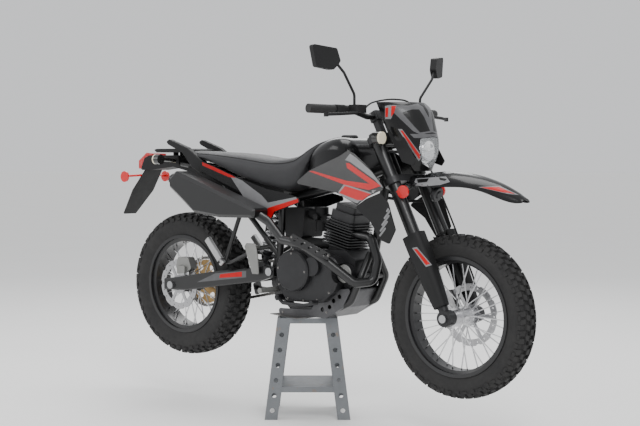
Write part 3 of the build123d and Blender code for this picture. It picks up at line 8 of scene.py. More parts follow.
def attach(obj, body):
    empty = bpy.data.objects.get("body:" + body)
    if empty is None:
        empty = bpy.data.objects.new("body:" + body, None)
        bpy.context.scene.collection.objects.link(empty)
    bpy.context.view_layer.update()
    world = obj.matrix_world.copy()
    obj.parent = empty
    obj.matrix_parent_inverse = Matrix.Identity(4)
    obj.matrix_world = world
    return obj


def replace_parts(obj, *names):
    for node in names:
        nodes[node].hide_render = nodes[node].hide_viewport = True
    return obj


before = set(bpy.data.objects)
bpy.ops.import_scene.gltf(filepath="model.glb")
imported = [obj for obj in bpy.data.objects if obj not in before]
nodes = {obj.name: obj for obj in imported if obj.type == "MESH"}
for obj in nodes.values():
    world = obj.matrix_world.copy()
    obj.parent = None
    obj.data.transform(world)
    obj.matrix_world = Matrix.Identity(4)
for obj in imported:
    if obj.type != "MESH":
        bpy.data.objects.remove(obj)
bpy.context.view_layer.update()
print("frame loaded:", len(nodes), "nodes")


class Wire:
    def __init__(self, maker, socket):
        self.maker, self.socket = maker, socket

    def maths(self, operation, *others):
        return self.maker.node("ShaderNodeMath", {"operation": operation}, self, *others)

    def __add__(self, other):
        return self.maths("ADD", other)

    __radd__ = __add__

    def __mul__(self, other):
        return self.maths("MULTIPLY", other)

    __rmul__ = __mul__

    def __sub__(self, other):
        return self.maths("SUBTRACT", other)

    def __rsub__(self, other):
        return self.maker.node("ShaderNodeMath", {"operation": "SUBTRACT"}, other, self)

    def __pow__(self, other):
        return self.maths("POWER", other)

    def __gt__(self, other):
        return self.maths("GREATER_THAN", other)

    def __lt__(self, other):
        return self.maths("LESS_THAN", other)


class Finish:
    def __init__(self, name, **fixed):
        self.material = bpy.data.materials.new(name)
        self.material.use_nodes = True
        self.tree = self.material.node_tree
        self.shader = self.tree.nodes["Principled BSDF"]
        for socket, value in fixed.items():
            self.set(socket, value)
        self.place = Wire(self, self.tree.nodes.new("ShaderNodeTexCoord").outputs["Object"])

    def set(self, socket, value):
        target = self.shader.inputs[socket.replace("_", " ")]
        if isinstance(value, Wire):
            self.tree.links.new(value.socket, target)
        else:
            target.default_value = (*value, 1) if isinstance(value, tuple) and len(value) == 3 else value
        return self

    def node(self, kind, settings, *values, out=0, **named):
        made = self.tree.nodes.new(kind)
        for key, value in settings.items():
            if key == "stops":
                for spot, (at, colour) in zip(range(len(value)), value):
                    stop = made.color_ramp.elements[spot] if spot < 2 else made.color_ramp.elements.new(at)
                    stop.position, stop.color = at, (*colour, 1)
            else:
                setattr(made, key, value)
        for target, value in list(zip(made.inputs, values)) + [(made.inputs[k], v) for k, v in named.items()]:
            if isinstance(value, Wire):
                self.tree.links.new(value.socket, target)
            elif value is not None:
                target.default_value = (*value, 1) if isinstance(value, tuple) and len(value) == 3 and \
                    target.type == "RGBA" else value
        return Wire(self, made.outputs[out])

    def noise(self, scale, detail=3.0, roughness=0.55, place=None):
        return self.node("ShaderNodeTexNoise", {}, Vector=place or self.place, Scale=scale, Detail=detail,
                         Roughness=roughness)

    def grain(self, scale):
        return self.node("ShaderNodeTexVoronoi", {"feature": "F1"}, Vector=self.place, Scale=scale)

    def bands(self, direction, scale):
        return self.node("ShaderNodeTexWave", {"wave_type": "BANDS", "bands_direction": direction},
                         Vector=self.place, Scale=scale)

    def axis(self, name):
        return Wire(self, self.node("ShaderNodeSeparateXYZ", {}, self.place).socket.node.outputs[name])

    def stretch(self, x, y, z):
        return self.node("ShaderNodeVectorMath", {"operation": "MULTIPLY"}, self.place, (x, y, z))

    def mix(self, share, first, second):
        made = self.tree.nodes.new("ShaderNodeMix")
        made.data_type = "RGBA"
        for name, value in (("Factor", share), ("A", first), ("B", second)):
            target = [one for one in made.inputs if one.name == name and
                      one.type == ("VALUE" if name == "Factor" else "RGBA")][0]
            if isinstance(value, Wire):
                self.tree.links.new(value.socket, target)
            else:
                target.default_value = (*value, 1) if isinstance(value, tuple) else value
        return Wire(self, [one for one in made.outputs if one.type == "RGBA"][0])

    def bump(self, height, distance, strength=1.0):
        made = self.node("ShaderNodeBump", {}, Strength=strength, Distance=distance, Height=height)
        return self.set("Normal", made)

    def spread(self, value, low, high):
        return self.node("ShaderNodeMapRange", {}, Value=value, **{"To Min": low, "To Max": high})


# Finishes
def tyreRubber():
    f = Finish("tyreRubber", Roughness=0.8, Specular_IOR_Level=0.35)
    dust = f.noise(14, 4)
    f.set("Base_Color", f.mix(dust, (0.011, 0.011, 0.012), (0.03, 0.029, 0.028)))
    f.set("Roughness", f.spread(f.noise(60), 0.6, 0.9))
    return f.bump(f.noise(900, 2), 0.0002, 0.5).material


def blackPaint():
    f = Finish("blackPaint", Base_Color=(0.005, 0.005, 0.0055), Coat_Weight=0.2, Coat_Roughness=0.2)
    f.set("Roughness", f.spread(f.noise(30), 0.3, 0.45))
    return f.bump(f.noise(260, 2), 0.0001, 0.35).material


def mouldedPlastic():
    f = Finish("mouldedPlastic", Specular_IOR_Level=0.3)
    f.set("Base_Color", f.mix(f.noise(9), (0.006, 0.006, 0.0065), (0.012, 0.012, 0.0125)))
    f.set("Roughness", f.spread(f.noise(40), 0.5, 0.66))
    return f.bump(f.grain(1100), 0.00012, 0.6).material


def glossPlastic():
    f = Finish("glossPlastic", Coat_Weight=0.18, Coat_Roughness=0.08, Specular_IOR_Level=0.22)
    f.set("Base_Color", f.mix(f.noise(6), (0.004, 0.004, 0.0045), (0.008, 0.008, 0.0085)))
    f.set("Roughness", f.spread(f.noise(22), 0.16, 0.28))
    return f.bump(f.noise(70, 1), 0.00012, 0.25).material


def seatVinyl():
    f = Finish("seatVinyl", Specular_IOR_Level=0.5)
    f.set("Base_Color", f.mix(f.noise(18), (0.016, 0.016, 0.018), (0.027, 0.027, 0.029)))
    f.set("Roughness", f.spread(f.noise(80), 0.45, 0.62))
    return f.bump(f.grain(620), 0.0003, 0.7).material


def softRubber():
    f = Finish("softRubber", Base_Color=(0.012, 0.012, 0.012))
    f.set("Roughness", f.spread(f.noise(120), 0.6, 0.8))
    return f.bump(f.noise(700, 2), 0.0002, 0.5).material


def castMetal(name, dark, light, rough, metallic):
    f = Finish(name, Metallic=metallic)
    f.set("Base_Color", f.mix(f.noise(24, 4), dark, light))
    f.set("Roughness", f.spread(f.noise(60), rough - 0.1, rough + 0.12))
    return f.bump(f.noise(1400, 2), 0.00018, 0.6).material


def groundSteel(name, colour, low, high):
    f = Finish(name, Metallic=1.0)
    brushed = f.noise(40, 6, 0.7, place=f.stretch(1, 14, 1))
    f.set("Base_Color", f.mix(brushed, tuple(0.75 * c for c in colour), colour))
    f.set("Roughness", f.spread(brushed, low, high))
    return f.bump(f.noise(500, 2), 0.00008, 0.4).material


def wheelFinish(name, centre, brightFrom, brightTo):
    f = Finish(name)
    across = (f.axis("X") - centre[0]) ** 2.0 + (f.axis("Z") - centre[2]) ** 2.0
    radius = across ** 0.5
    bright = (radius > brightFrom) * (radius < brightTo)
    f.set("Base_Color", f.mix(bright, (0.014, 0.014, 0.015), (0.62, 0.62, 0.63)))
    f.set("Metallic", bright)
    f.set("Roughness", f.spread(f.noise(50), 0.24, 0.38))
    return f.bump(f.noise(300, 2), 0.00006, 0.3).material


def standPaint():
    f = Finish("standPaint")
    worn = f.noise(26, 6, 0.7) > 0.63
    tone = f.mix(f.noise(7, 3), (0.13, 0.14, 0.15), (0.21, 0.22, 0.23))
    f.set("Base_Color", f.mix(worn, tone, (0.2, 0.17, 0.15)))
    f.set("Metallic", 0.35)
    f.set("Roughness", f.spread(f.noise(50), 0.42, 0.68))
    return f.bump(f.noise(240, 3), 0.0003, 0.5).material


def decalFilm(name, dark, light):
    f = Finish(name, Coat_Weight=0.12, Coat_Roughness=0.2, Specular_IOR_Level=0.25)
    f.set("Base_Color", f.mix(f.noise(30), dark, light))
    f.set("Roughness", f.spread(f.noise(90), 0.25, 0.36))
    return f.bump(f.noise(200, 1), 0.00005, 0.2).material


def lampLens(name, colour, alpha, pitch):
    f = Finish(name, Roughness=0.08, Alpha=alpha, IOR=1.49, Coat_Weight=0.5)
    f.set("Base_Color", f.mix(f.noise(60), colour, tuple(min(1, 1.15 * c) for c in colour)))
    return f.bump(f.bands("Z", pitch), 0.0006, 0.6).material


def gripRubber():
    f = Finish("gripRubber", Base_Color=(0.012, 0.012, 0.012))
    f.set("Roughness", f.spread(f.noise(120), 0.55, 0.75))
    return f.bump(f.bands("Y", 60), 0.001, 0.8).material


def lampCluster(name, redMask, lensMask):
    # lamps in black housings on stalks, with red round reflectors beside them
    f = Finish(name, Coat_Weight=0.4, Coat_Roughness=0.1)
    red = redMask(f)
    stalk = (1 - lensMask(f)) * (1 - red)
    lens = f.mix(red, (0.72, 0.66, 0.5), (0.62, 0.01, 0.01))
    f.set("Base_Color", f.mix(stalk, lens, (0.012, 0.012, 0.012)))
    f.set("Roughness", f.spread(f.noise(50), 0.15, 0.3))
    return f.bump(f.bands("Z", 70), 0.0004, 0.5).material


def lampBucket():
    f = Finish("lampBucket")
    face = f.axis("X") > 0.5945
    f.set("Base_Color", f.mix(face, (0.012, 0.012, 0.012), (0.8, 0.8, 0.81)))
    f.set("Metallic", face)
    f.set("Roughness", f.spread(f.noise(60), 0.1, 0.3))
    return f.bump(f.noise(260, 2), 0.00008, 0.3).material


def studioFloor():
    f = Finish("studioFloor", Roughness=0.8, Emission_Color=(1.0, 0.99, 0.97), Emission_Strength=0.12)
    f.set("Base_Color", f.mix(f.noise(1.2), (0.82, 0.82, 0.81), (0.86, 0.86, 0.85)))
    return f.bump(f.noise(30, 2), 0.0004, 0.2).material


frontCentre = (0.76, 0.0, 0.447)
rearCentre = (-0.64, 0.0, 0.493)
finishes = {
    "tyre": tyreRubber(),
    "paint": blackPaint(),
    "plastic": mouldedPlastic(),
    "gloss": glossPlastic(),
    "vinyl": seatVinyl(),
    "rubber": softRubber(),
    "castGrey": castMetal("castGrey", (0.07, 0.07, 0.073), (0.13, 0.13, 0.135), 0.45, 0.7),
    "castBlack": castMetal("castBlack", (0.014, 0.014, 0.015), (0.03, 0.03, 0.032), 0.42, 0.35),
    "alloy": castMetal("alloy", (0.4, 0.4, 0.4), (0.55, 0.55, 0.55), 0.36, 0.9),
    "steel": groundSteel("steel", (0.5, 0.5, 0.51), 0.22, 0.38),
    "darkSteel": groundSteel("darkSteel", (0.3, 0.29, 0.28), 0.35, 0.5),
    "bronze": groundSteel("bronze", (0.5, 0.33, 0.15), 0.25, 0.4),
    "chrome": groundSteel("chrome", (0.85, 0.85, 0.86), 0.05, 0.12),
    "frontWheel": wheelFinish("frontWheel", frontCentre, 0.0, 0.196),
    "rearWheel": wheelFinish("rearWheel", rearCentre, 0.038, 0.18),
    "stand": standPaint(),
    "red": decalFilm("red", (0.42, 0.001, 0.002), (0.54, 0.002, 0.003)),
    "silver": decalFilm("silver", (0.16, 0.16, 0.165), (0.24, 0.24, 0.245)),
    "grey": decalFilm("grey", (0.07, 0.07, 0.073), (0.13, 0.13, 0.135)),
    "blackFilm": decalFilm("blackFilm", (0.006, 0.006, 0.006), (0.01, 0.01, 0.01)),
    "clearLens": lampLens("clearLens", (0.86, 0.9, 0.94), 0.16, 40),
    "whiteLens": lampLens("whiteLens", (0.72, 0.72, 0.7), 0.92, 60),
    "redLens": lampLens("redLens", (0.5, 0.01, 0.01), 0.95, 60),
    "mirrorGlass": groundSteel("mirrorGlass", (0.8, 0.82, 0.84), 0.02, 0.05),
    "grip": gripRubber(),
    "bucket": lampBucket(),
    "castCylinder": castMetal("castCylinder", (0.022, 0.022, 0.023), (0.05, 0.05, 0.052), 0.45, 0.5),
    "castPale": castMetal("castPale", (0.2, 0.2, 0.19), (0.3, 0.3, 0.29), 0.45, 0.6),
    "frontLamps": lampCluster("frontLamps", lambda f: f.axis("Z") < 0.95, lambda f: f.axis("X") > 0.505),
    "rearLamps": lampCluster("rearLamps", lambda f: f.axis("X") < -0.9, lambda f: f.axis("X") < -0.684),
}
nodeFinish = {
    "front_tyre": "tyre", "rear_tyre": "tyre", "front_rim": "frontWheel", "rear_rim": "rearWheel",
    "front_disc": "steel", "rear_disc": "steel", "rear_sprocket": "bronze", "lift_stand": "stand",
    "stand_plate": "darkSteel", "main_frame": "paint", "subframe": "paint", "crankcase": "castBlack",
    "clutch_cover": "castBlack", "generator_cover": "castBlack", "cylinder": "castCylinder",
    "intake": "plastic",
    "muffler": "paint", "exhaust_header": "paint", "heat_shield": "paint", "skid_plate": "castGrey",
    "fuel_tank": "gloss", "fuel_cap": "plastic", "seat": "vinyl", "tank_shrouds": "gloss",
    "louvre_guards": "plastic", "side_panels": "gloss", "rear_fender": "plastic", "rear_rack": "plastic",
    "tail_light": "redLens", "plate_bracket": "plastic", "rear_indicators": "rearLamps", "swingarm": "paint",
    "rear_axles": "steel", "shock_absorber": "darkSteel", "chain": "darkSteel", "chain_guard": "plastic",
    "rear_caliper": "castPale", "foot_pegs": "castPale", "foot_levers": "castBlack", "side_stand": "paint",
    "passenger_peg_right": "alloy", "passenger_peg_left": "alloy", "handlebar": "paint",
    "fork_clamps": "castBlack",
    "fork_tubes": "paint", "fork_sliders": "castBlack", "front_axle": "steel", "fork_guards": "plastic",
    "front_caliper": "alloy", "grips": "grip", "hand_controls": "plastic", "mirrors": "plastic",
    "headlight_cowl": "gloss", "headlight_lens": "clearLens", "headlight": "bucket",
    "front_indicators": "frontLamps", "front_fender": "gloss",
}
for name, node in nodes.items():
    chosen = finishes[nodeFinish.get(name, "plastic")]
    if not node.material_slots:
        node.data.materials.append(chosen)
    for slot in node.material_slots:
        slot.material = chosen
print("finishes set")

# Floor, light and camera
studio = {"floorHalf": 120.0}


def addFloor():
    half = studio["floorHalf"]
    mesh = bpy.data.meshes.new("studioFloor")
    corners = [(-half, -half, 0), (half, -half, 0), (half, half, 0), (-half, half, 0)]
    mesh.from_pydata(corners, [], [(0, 1, 2, 3)])
    mesh.materials.append(studioFloor())
    floor = bpy.data.objects.new("studioFloor", mesh)
    bpy.context.scene.collection.objects.link(floor)


def addLamp(name, place, target, size, power):
    data = bpy.data.lights.new(name, "AREA")
    data.shape, data.size, data.energy = "SQUARE", size, power
    lamp = bpy.data.objects.new(name, data)
    lamp.location = place
    lamp.rotation_euler = (Vector(target) - Vector(place)).to_track_quat("-Z", "Y").to_euler()
    bpy.context.scene.collection.objects.link(lamp)


cameraSpec = {
    "place": (3.529, -4.198, 1.018), "azimuth": radians(39.40), "pitch": radians(2.14),
    "focalPixels": 1350.0, "frameWidth": 640.0, "frameHeight": 426.0, "sensor": 36.0,
}


def addCamera():
    data = bpy.data.cameras.new("camera")
    data.sensor_width = cameraSpec["sensor"]
    data.lens = cameraSpec["focalPixels"] / cameraSpec["frameWidth"] * cameraSpec["sensor"]
    camera = bpy.data.objects.new("camera", data)
    camera.location = cameraSpec["place"]
    camera.rotation_euler = (pi / 2 - cameraSpec["pitch"], 0, cameraSpec["azimuth"])
    bpy.context.scene.collection.objects.link(camera)
    bpy.context.scene.camera = camera


addCamera()
addFloor()
addLamp("keyLamp", (3.4, -3.0, 4.4), (0, 0, 0.7), 2.0, 130)
addLamp("fillLamp", (-3.4, -3.4, 2.8), (0, 0, 0.8), 2.0, 45)
addLamp("topLamp", (-0.2, 0.4, 4.8), (0, 0, 0.6), 2.6, 120)
addLamp("backLamp", (-2.6, 3.4, 3.6), (0, 0, 0.7), 2.4, 60)
world = bpy.data.worlds.new("studioAir")
world.use_nodes = True
world.node_tree.nodes["Background"].inputs["Color"].default_value = (0.94, 0.95, 0.97, 1)
world.node_tree.nodes["Background"].inputs["Strength"].default_value = 0.9
bpy.context.scene.world = world
print("studio ready")


# Mesh helpers
bevelAngle = radians(30)    # flatter edges get no bevel


def placeMesh(name, points, faces, finish):
    mesh = bpy.data.meshes.new(name)
    mesh.from_pydata([tuple(p) for p in points], [], faces)
    mesh.materials.append(finishes[finish])
    placed = bpy.data.objects.new(name, mesh)
    bpy.context.scene.collection.objects.link(placed)
    return placed


def addPiece(name, points, faces, finish, body, slot=None, smooth=False, bevel=0.0):
    piece = placeMesh(name, points, faces, finish)
    mesh = piece.data
    mesh.update()
    shaped = bmesh.new()
    shaped.from_mesh(mesh)
    bmesh.ops.recalc_face_normals(shaped, faces=shaped.faces)
    shaped.to_mesh(mesh)
    shaped.free()
    for face in mesh.polygons:
        face.use_smooth = smooth
    if bevel:
        edge = piece.modifiers.new("edge", "BEVEL")
        edge.width, edge.segments, edge.limit_method, edge.angle_limit = bevel, 2, "ANGLE", bevelAngle
    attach(piece, body)
    return piece


def turned(centre, profile, steps):
    # rings round an axle along Y, from a profile in y and radius
    points, faces = [], []
    for step in range(steps):
        angle = 2 * pi * step / steps
        for y, radius in profile:
            points.append((centre[0] + radius * cos(angle), centre[1] + y, centre[2] + radius * sin(angle)))
    count = len(profile)
    for step in range(steps):
        for spot in range(count):
            a, b = step * count + spot, step * count + (spot + 1) % count
            c, d = ((step + 1) % steps) * count + (spot + 1) % count, ((step + 1) % steps) * count + spot
            faces.append((a, b, c, d))
    return points, faces


# Knobbly tyres
tyreSpec = {
    "front_tyre": {"body": "front_wheel", "centre": frontCentre, "radius": 0.307, "half": 0.055,
                   "bead": 0.216, "flange": 0.0093, "inset": 0.014, "pitches": 52, "lug": 0.0095},
    "rear_tyre": {"body": "rear_wheel", "centre": rearCentre, "radius": 0.309, "half": 0.071,
                  "bead": 0.203, "flange": 0.0093, "inset": 0.014, "pitches": 48, "lug": 0.0105},
}
# tread blocks, as shares of half width and pitch; the side block's sizes are in metres
lugSpec = {
    "middle": {"wide": 0.42, "long": 0.68},
    "inner": {"across": 0.44, "wide": 0.32, "long": 0.64, "skew": 0.35},
    "outer": {"across": 0.76, "wide": 0.24, "long": 0.62, "skew": -0.2, "lift": 0.95, "stagger": 0.1},
    "side": {"top": 0.022, "drops": (0.010, 0.016), "inset": 0.0085, "flare": 0.003, "taper": 0.6,
             "gap": 0.0004, "sunk": -0.002, "footLong": 0.29, "proud": 0.0055, "faceLong": 0.25},
}


def tyreCarcass(spec, sink):
    # the tyre's section from bead to bead, with its crown sunk under the lugs' tips
    toe = spec["half"] - spec["inset"] - 0.0006
    edge = spec["bead"] + spec["flange"] + 0.0006
    bulge, bulgeRadius = spec["half"] - 0.002, (spec["bead"] + spec["radius"]) / 2
    shoulder, shoulderRadius = spec["half"] - 0.008, spec["radius"] - 0.024 - sink * 0.6
    crown = spec["radius"] - sink
    half = []
    for share in (0, 0.25, 0.5, 0.75):
        half.append((toe + (bulge - toe) * sin(share * pi / 2), edge + (bulgeRadius - edge) * share))
    for share in (0, 0.33, 0.66):
        half.append((bulge + (shoulder - bulge) * share ** 2,
                     bulgeRadius + (shoulderRadius - bulgeRadius) * share))
    for share in (0, 0.25, 0.5, 0.75):
        half.append((shoulder * cos(share * pi / 2),
                     shoulderRadius + (crown - shoulderRadius) * sin(share * pi / 2)))
    ring = [(toe, spec["bead"] + 0.001)] + half + [(0, crown)]
    return ring + [(-y, r) for y, r in reversed(ring[:-1])]


def crownRadius(spec, y, sink):
    toe = spec["half"] - 0.008
    shoulderRadius = spec["radius"] - 0.024 - sink * 0.6
    crown = spec["radius"] - sink
    share = min(1.0, abs(y) / toe)
    return shoulderRadius + (crown - shoulderRadius) * sqrt(1 - share ** 2)


def blockFaces(a):
    # the top and four sides of a block of eight corners
    return [(a + 4, a + 5, a + 6, a + 7), (a, a + 1, a + 5, a + 4), (a + 1, a + 2, a + 6, a + 5),
            (a + 2, a + 3, a + 7, a + 6), (a + 3, a, a + 4, a + 7)]


def lugBlock(points, faces, spec, angle, y, wide, long, skew, lift):
    # one tread block: its foot on the carcass, its top a little smaller
    centre, start = spec["centre"], len(points)
    for level in (0, 1):
        shrink = 1.0 if level == 0 else 0.84
        for sy, sa in ((-1, -1), (1, -1), (1, 1), (-1, 1)):
            py = y + sy * wide / 2 * shrink
            radius = crownRadius(spec, py, spec["lug"]) - 0.002 if level == 0 else \
                min(crownRadius(spec, py, spec["lug"]) + lift, spec["radius"] - 0.0003)
            turn = angle + (sa * long / 2 * shrink + skew * (py - y)) / spec["radius"]
            points.append((centre[0] + radius * cos(turn), centre[1] + py, centre[2] + radius * sin(turn)))
    faces += blockFaces(start)


def sideBlock(points, faces, spec, angle, side, drop):
    # a block that runs down over the shoulder, with its foot sunk in the carcass
    centre, half, block, start = spec["centre"], spec["half"], lugSpec["side"], len(points)
    long = 2 * pi * spec["radius"] / spec["pitches"]
    for level, share in ((block["sunk"], block["footLong"]), (block["proud"], block["faceLong"])):
        for down, sa in ((0, -1), (0, 1), (1, 1), (1, -1)):
            radius = spec["radius"] - block["top"] - down * drop
            outward = level * (block["taper"] if down else 1)
            py = half - block["inset"] + (block["flare"] if down else 0) + outward
            turn = angle + sa * long * share / spec["radius"]
            points.append((centre[0] + radius * cos(turn), centre[1] + side * min(py, half - block["gap"]),
                           centre[2] + radius * sin(turn)))
    faces += blockFaces(start)


def addTyre(name):
    spec = tyreSpec[name]
    middle, inner, outer = lugSpec["middle"], lugSpec["inner"], lugSpec["outer"]
    points, faces = turned(spec["centre"], tyreCarcass(spec, spec["lug"]), 96)
    carcass = addPiece(name + "_carcass", points, faces, "tyre", spec["body"], "tyre_rubber", smooth=True)
    points, faces = [], []
    pitch = 2 * pi / spec["pitches"]
    long = 2 * pi * spec["radius"] / spec["pitches"]
    half = spec["half"]
    for number in range(spec["pitches"]):
        angle = number * pitch
        odd = number % 2
        lugBlock(points, faces, spec, angle, 0, half * middle["wide"], long * middle["long"], 0.0,
                 spec["lug"])
        for side in (-1, 1):
            lugBlock(points, faces, spec, angle + pitch / 2, side * half * inner["across"],
                     half * inner["wide"], long * inner["long"], side * inner["skew"], spec["lug"])
            lugBlock(points, faces, spec, angle + pitch * outer["stagger"] * (1 - 2 * odd),
                     side * half * outer["across"], half * outer["wide"], long * outer["long"],
                     side * outer["skew"], spec["lug"] * outer["lift"])
            sideBlock(points, faces, spec, angle + pitch / 2, side, lugSpec["side"]["drops"][odd])
    lugs = addPiece(name + "_lugs", points, faces, "tyre", spec["body"], "tyre_rubber", bevel=0.0009)
    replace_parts(carcass, name)
    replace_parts(lugs, name)


for name in tyreSpec:
    addTyre(name)
print("tyres made")


# Tubes and turned pieces about any axis
def sweepTube(points, radius, steps=10):
    # a round tube along points, with a frame carried from point to point
    spots = [Vector(p) for p in points]
    rings, faces, side = [], [], None
    for number, spot in enumerate(spots):
        ahead = spots[min(number + 1, len(spots) - 1)] - spots[max(number - 1, 0)]
        ahead.normalize()
        side = side or ahead.orthogonal()
        side = (side - ahead * side.dot(ahead)).normalized()
        other = ahead.cross(side)
        for step in range(steps):
            turn = 2 * pi * step / steps
            rings.append(spot + side * radius * cos(turn) + other * radius * sin(turn))
    for row in range(len(spots) - 1):
        for step in range(steps):
            faces.append((row * steps + step, row * steps + (step + 1) % steps,
                          (row + 1) * steps + (step + 1) % steps, (row + 1) * steps + step))
    last = (len(spots) - 1) * steps
    faces += [tuple(range(steps))[::-1], tuple(range(last, last + steps))]
    return rings, faces


def turnedAlong(start, axis, profile, steps=28):
    # a body turned about an axis, from a profile in distance along it and radius
    axis = Vector(axis).normalized()
    side = axis.orthogonal().normalized()
    other = axis.cross(side)
    points, faces = [], []
    for along, radius in profile:
        for step in range(steps):
            turn = 2 * pi * step / steps
            outward = side * cos(turn) + other * sin(turn)
            points.append(Vector(start) + axis * along + outward * max(radius, 0.0001))
    for row in range(len(profile) - 1):
        for step in range(steps):
            faces.append((row * steps + step, row * steps + (step + 1) % steps,
                          (row + 1) * steps + (step + 1) % steps, (row + 1) * steps + step))
    last = (len(profile) - 1) * steps
    faces += [tuple(range(steps))[::-1], tuple(range(last, last + steps))]
    return points, faces


def joinMeshes(*meshes):
    points, faces = [], []
    for morePoints, moreFaces in meshes:
        start = len(points)
        points += morePoints
        faces += [tuple(start + corner for corner in face) for face in moreFaces]
    return points, faces


def throughPoints(a, b, c, d, t):
    # a smooth step from b to c, with a and d as their neighbours
    square, cube = 2 * a - 5 * b + 4 * c - d, 3 * b - a - 3 * c + d
    return 0.5 * (2 * b + (c - a) * t + square * t ** 2 + cube * t ** 3)


def curvedRun(points, cuts=10):
    # a smooth line through all its points
    spots = [Vector(p) for p in points]
    spots = [spots[0] * 2 - spots[1]] + spots + [spots[-1] * 2 - spots[-2]]
    line = []
    for number in range(1, len(spots) - 2):
        a, b, c, d = spots[number - 1:number + 3]
        for cut in range(cuts):
            t = cut / cuts
            line.append(throughPoints(a, b, c, d, t))
    return line + [spots[-2]]


surfaces = {}


def surfaceOf(name):
    if name not in surfaces:
        mesh = nodes[name].data
        surfaces[name] = BVHTree.FromPolygons([v.co.copy() for v in mesh.vertices],
                                              [tuple(p.vertices) for p in mesh.polygons])
    return surfaces[name]


azimuth, pitch = cameraSpec["azimuth"], cameraSpec["pitch"]
viewAhead = Vector((-sin(azimuth) * cos(pitch), cos(azimuth) * cos(pitch), -sin(pitch)))
viewRight = Vector((cos(azimuth), sin(azimuth), 0))
viewUp = viewRight.cross(viewAhead)


def sightLine(look, u, v):
    # where a drawn point starts and the way it is pressed onto the object
    # lengths are in millimetres, or in pixels for the camera's view
    if look == "view":
        across, high = u - cameraSpec["frameWidth"] / 2, cameraSpec["frameHeight"] / 2 - v
        ahead = viewAhead * cameraSpec["focalPixels"] + viewRight * across + viewUp * high
        return Vector(cameraSpec["place"]), ahead.normalized()
    u, v = u / 1000, v / 1000
    return {
        "right": (Vector((u, -0.6, v)), Vector((0, 1, 0))),
        "left": (Vector((u, 0.6, v)), Vector((0, -1, 0))),
        "rear": (Vector((-1.2, u, v)), Vector((1, 0, 0))),
        "top": (Vector((u, v, 1.7)), Vector((0, 0, -1))),
    }[look]


def onPlane(u, v, y):
    # where the sight line through a pixel meets the upright plane at y
    start, ahead = sightLine("view", u, v)
    return start + ahead * ((y - start.y) / ahead.y)


def pressed(node, look, u, v, lift):
    start, ahead = sightLine(look, u, v)
    place, normal, _, _ = surfaceOf(node).ray_cast(start, ahead)
    if place is None:
        return None, None
    if normal.dot(ahead) > 0:
        normal = -normal
    return place + normal * lift, normal


def filmMesh(node, look, outline, lift, reach):
    # a drawn outline cut into small faces and pressed onto a node's surface
    shaped = bmesh.new()
    shaped.faces.new([shaped.verts.new((u, v, 0)) for u, v in outline])
    for _ in range(7):
        bmesh.ops.triangulate(shaped, faces=shaped.faces)
        longEdges = [edge for edge in shaped.edges if edge.calc_length() > reach]
        if not longEdges:
            break
        bmesh.ops.subdivide_edges(shaped, edges=longEdges, cuts=1)
    bmesh.ops.triangulate(shaped, faces=shaped.faces)
    middle = Vector((sum(u for u, _ in outline), sum(v for _, v in outline), 0)) / len(outline)
    lost = []
    for vert in shaped.verts:
        drawn = vert.co.copy()
        for step in range(12):
            here = drawn.lerp(middle, step * 0.03)
            place, _ = pressed(node, look, here.x, here.y, lift)
            if place is not None:
                break
        if place is None:
            lost.append(vert)
        else:
            vert.co = place
    bmesh.ops.delete(shaped, geom=lost, context="VERTS")
    ahead = sightLine(look, *outline[0])[1]
    shaped.normal_update()
    for face in shaped.faces:
        if face.normal.dot(ahead) > 0:
            face.normal_flip()
    shaped.verts.index_update()
    points = [vert.co.copy() for vert in shaped.verts]
    faces = [tuple(vert.index for vert in face.verts) for face in shaped.faces]
    shaped.free()
    return points, faces


def mirroredMesh(mesh):
    points, faces = mesh
    return [Vector((p.x, -p.y, p.z)) for p in points], [face[::-1] for face in faces]


def addFilm(name, node, look, body, finish, outlines, lift=0.0005):
    pieces = []
    for outline in outlines:
        film = filmMesh(node, look, outline, lift, 3.0 if look == "view" else 14.0)
        pieces += [film, mirroredMesh(film)]
    film = placeMesh(name, *joinMeshes(*pieces), finish)
    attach(film, body)
    return film


def slotOutline(x, z, long, wide, turn):
    # a rounded slot drawn round its middle
    way, across = Vector((cos(turn), sin(turn))), Vector((-sin(turn), cos(turn)))
    outline = []
    for sign in (1, -1):
        for step in range(5):
            angle = -pi / 2 + pi * step / 4
            spot = Vector((x, z)) + sign * (way * ((long - wide) / 2 + wide / 2 * cos(angle)) +
                                            across * wide / 2 * sin(angle))
            outline.append((spot.x, spot.y))
    return outline


# Seat: a crowned pad with piping, its nose lying on the tank
seatSpec = {
    "stations": [(-0.582, 0.095, 1.036, 1.069), (-0.440, 0.112, 1.019, 1.064), (-0.270, 0.119, 0.961, 1.054),
                 (-0.095, 0.113, 0.917, 1.036), (0.015, 0.098, 0.910, 1.048), (0.100, 0.080, 1.030, 1.091),
                 (0.150, 0.062, 1.080, 1.111), (0.184, 0.036, 1.096, 1.119)],
    "rowStep": 0.0115, "around": 44, "crown": 0.010, "tuck": 0.02, "crease": 0.0007, "piping": 0.0022,
    "tankRear": 0.0685, "rest": 0.0015, "tailZ": 1.055, "tailShrink": (0.6, 0.86),
}


def seatStation(x):
    table = seatSpec["stations"]
    spot = max(number for number in range(len(table) - 1) if table[number][0] <= x or number == 0)
    t = (x - table[spot][0]) / (table[spot + 1][0] - table[spot][0])
    rows = [table[max(0, min(len(table) - 1, spot + shift))] for shift in (-1, 0, 1, 2)]
    found = []
    for column in (1, 2, 3):
        a, b, c, d = [row[column] for row in rows]
        found.append(throughPoints(a, b, c, d, t))
    return found


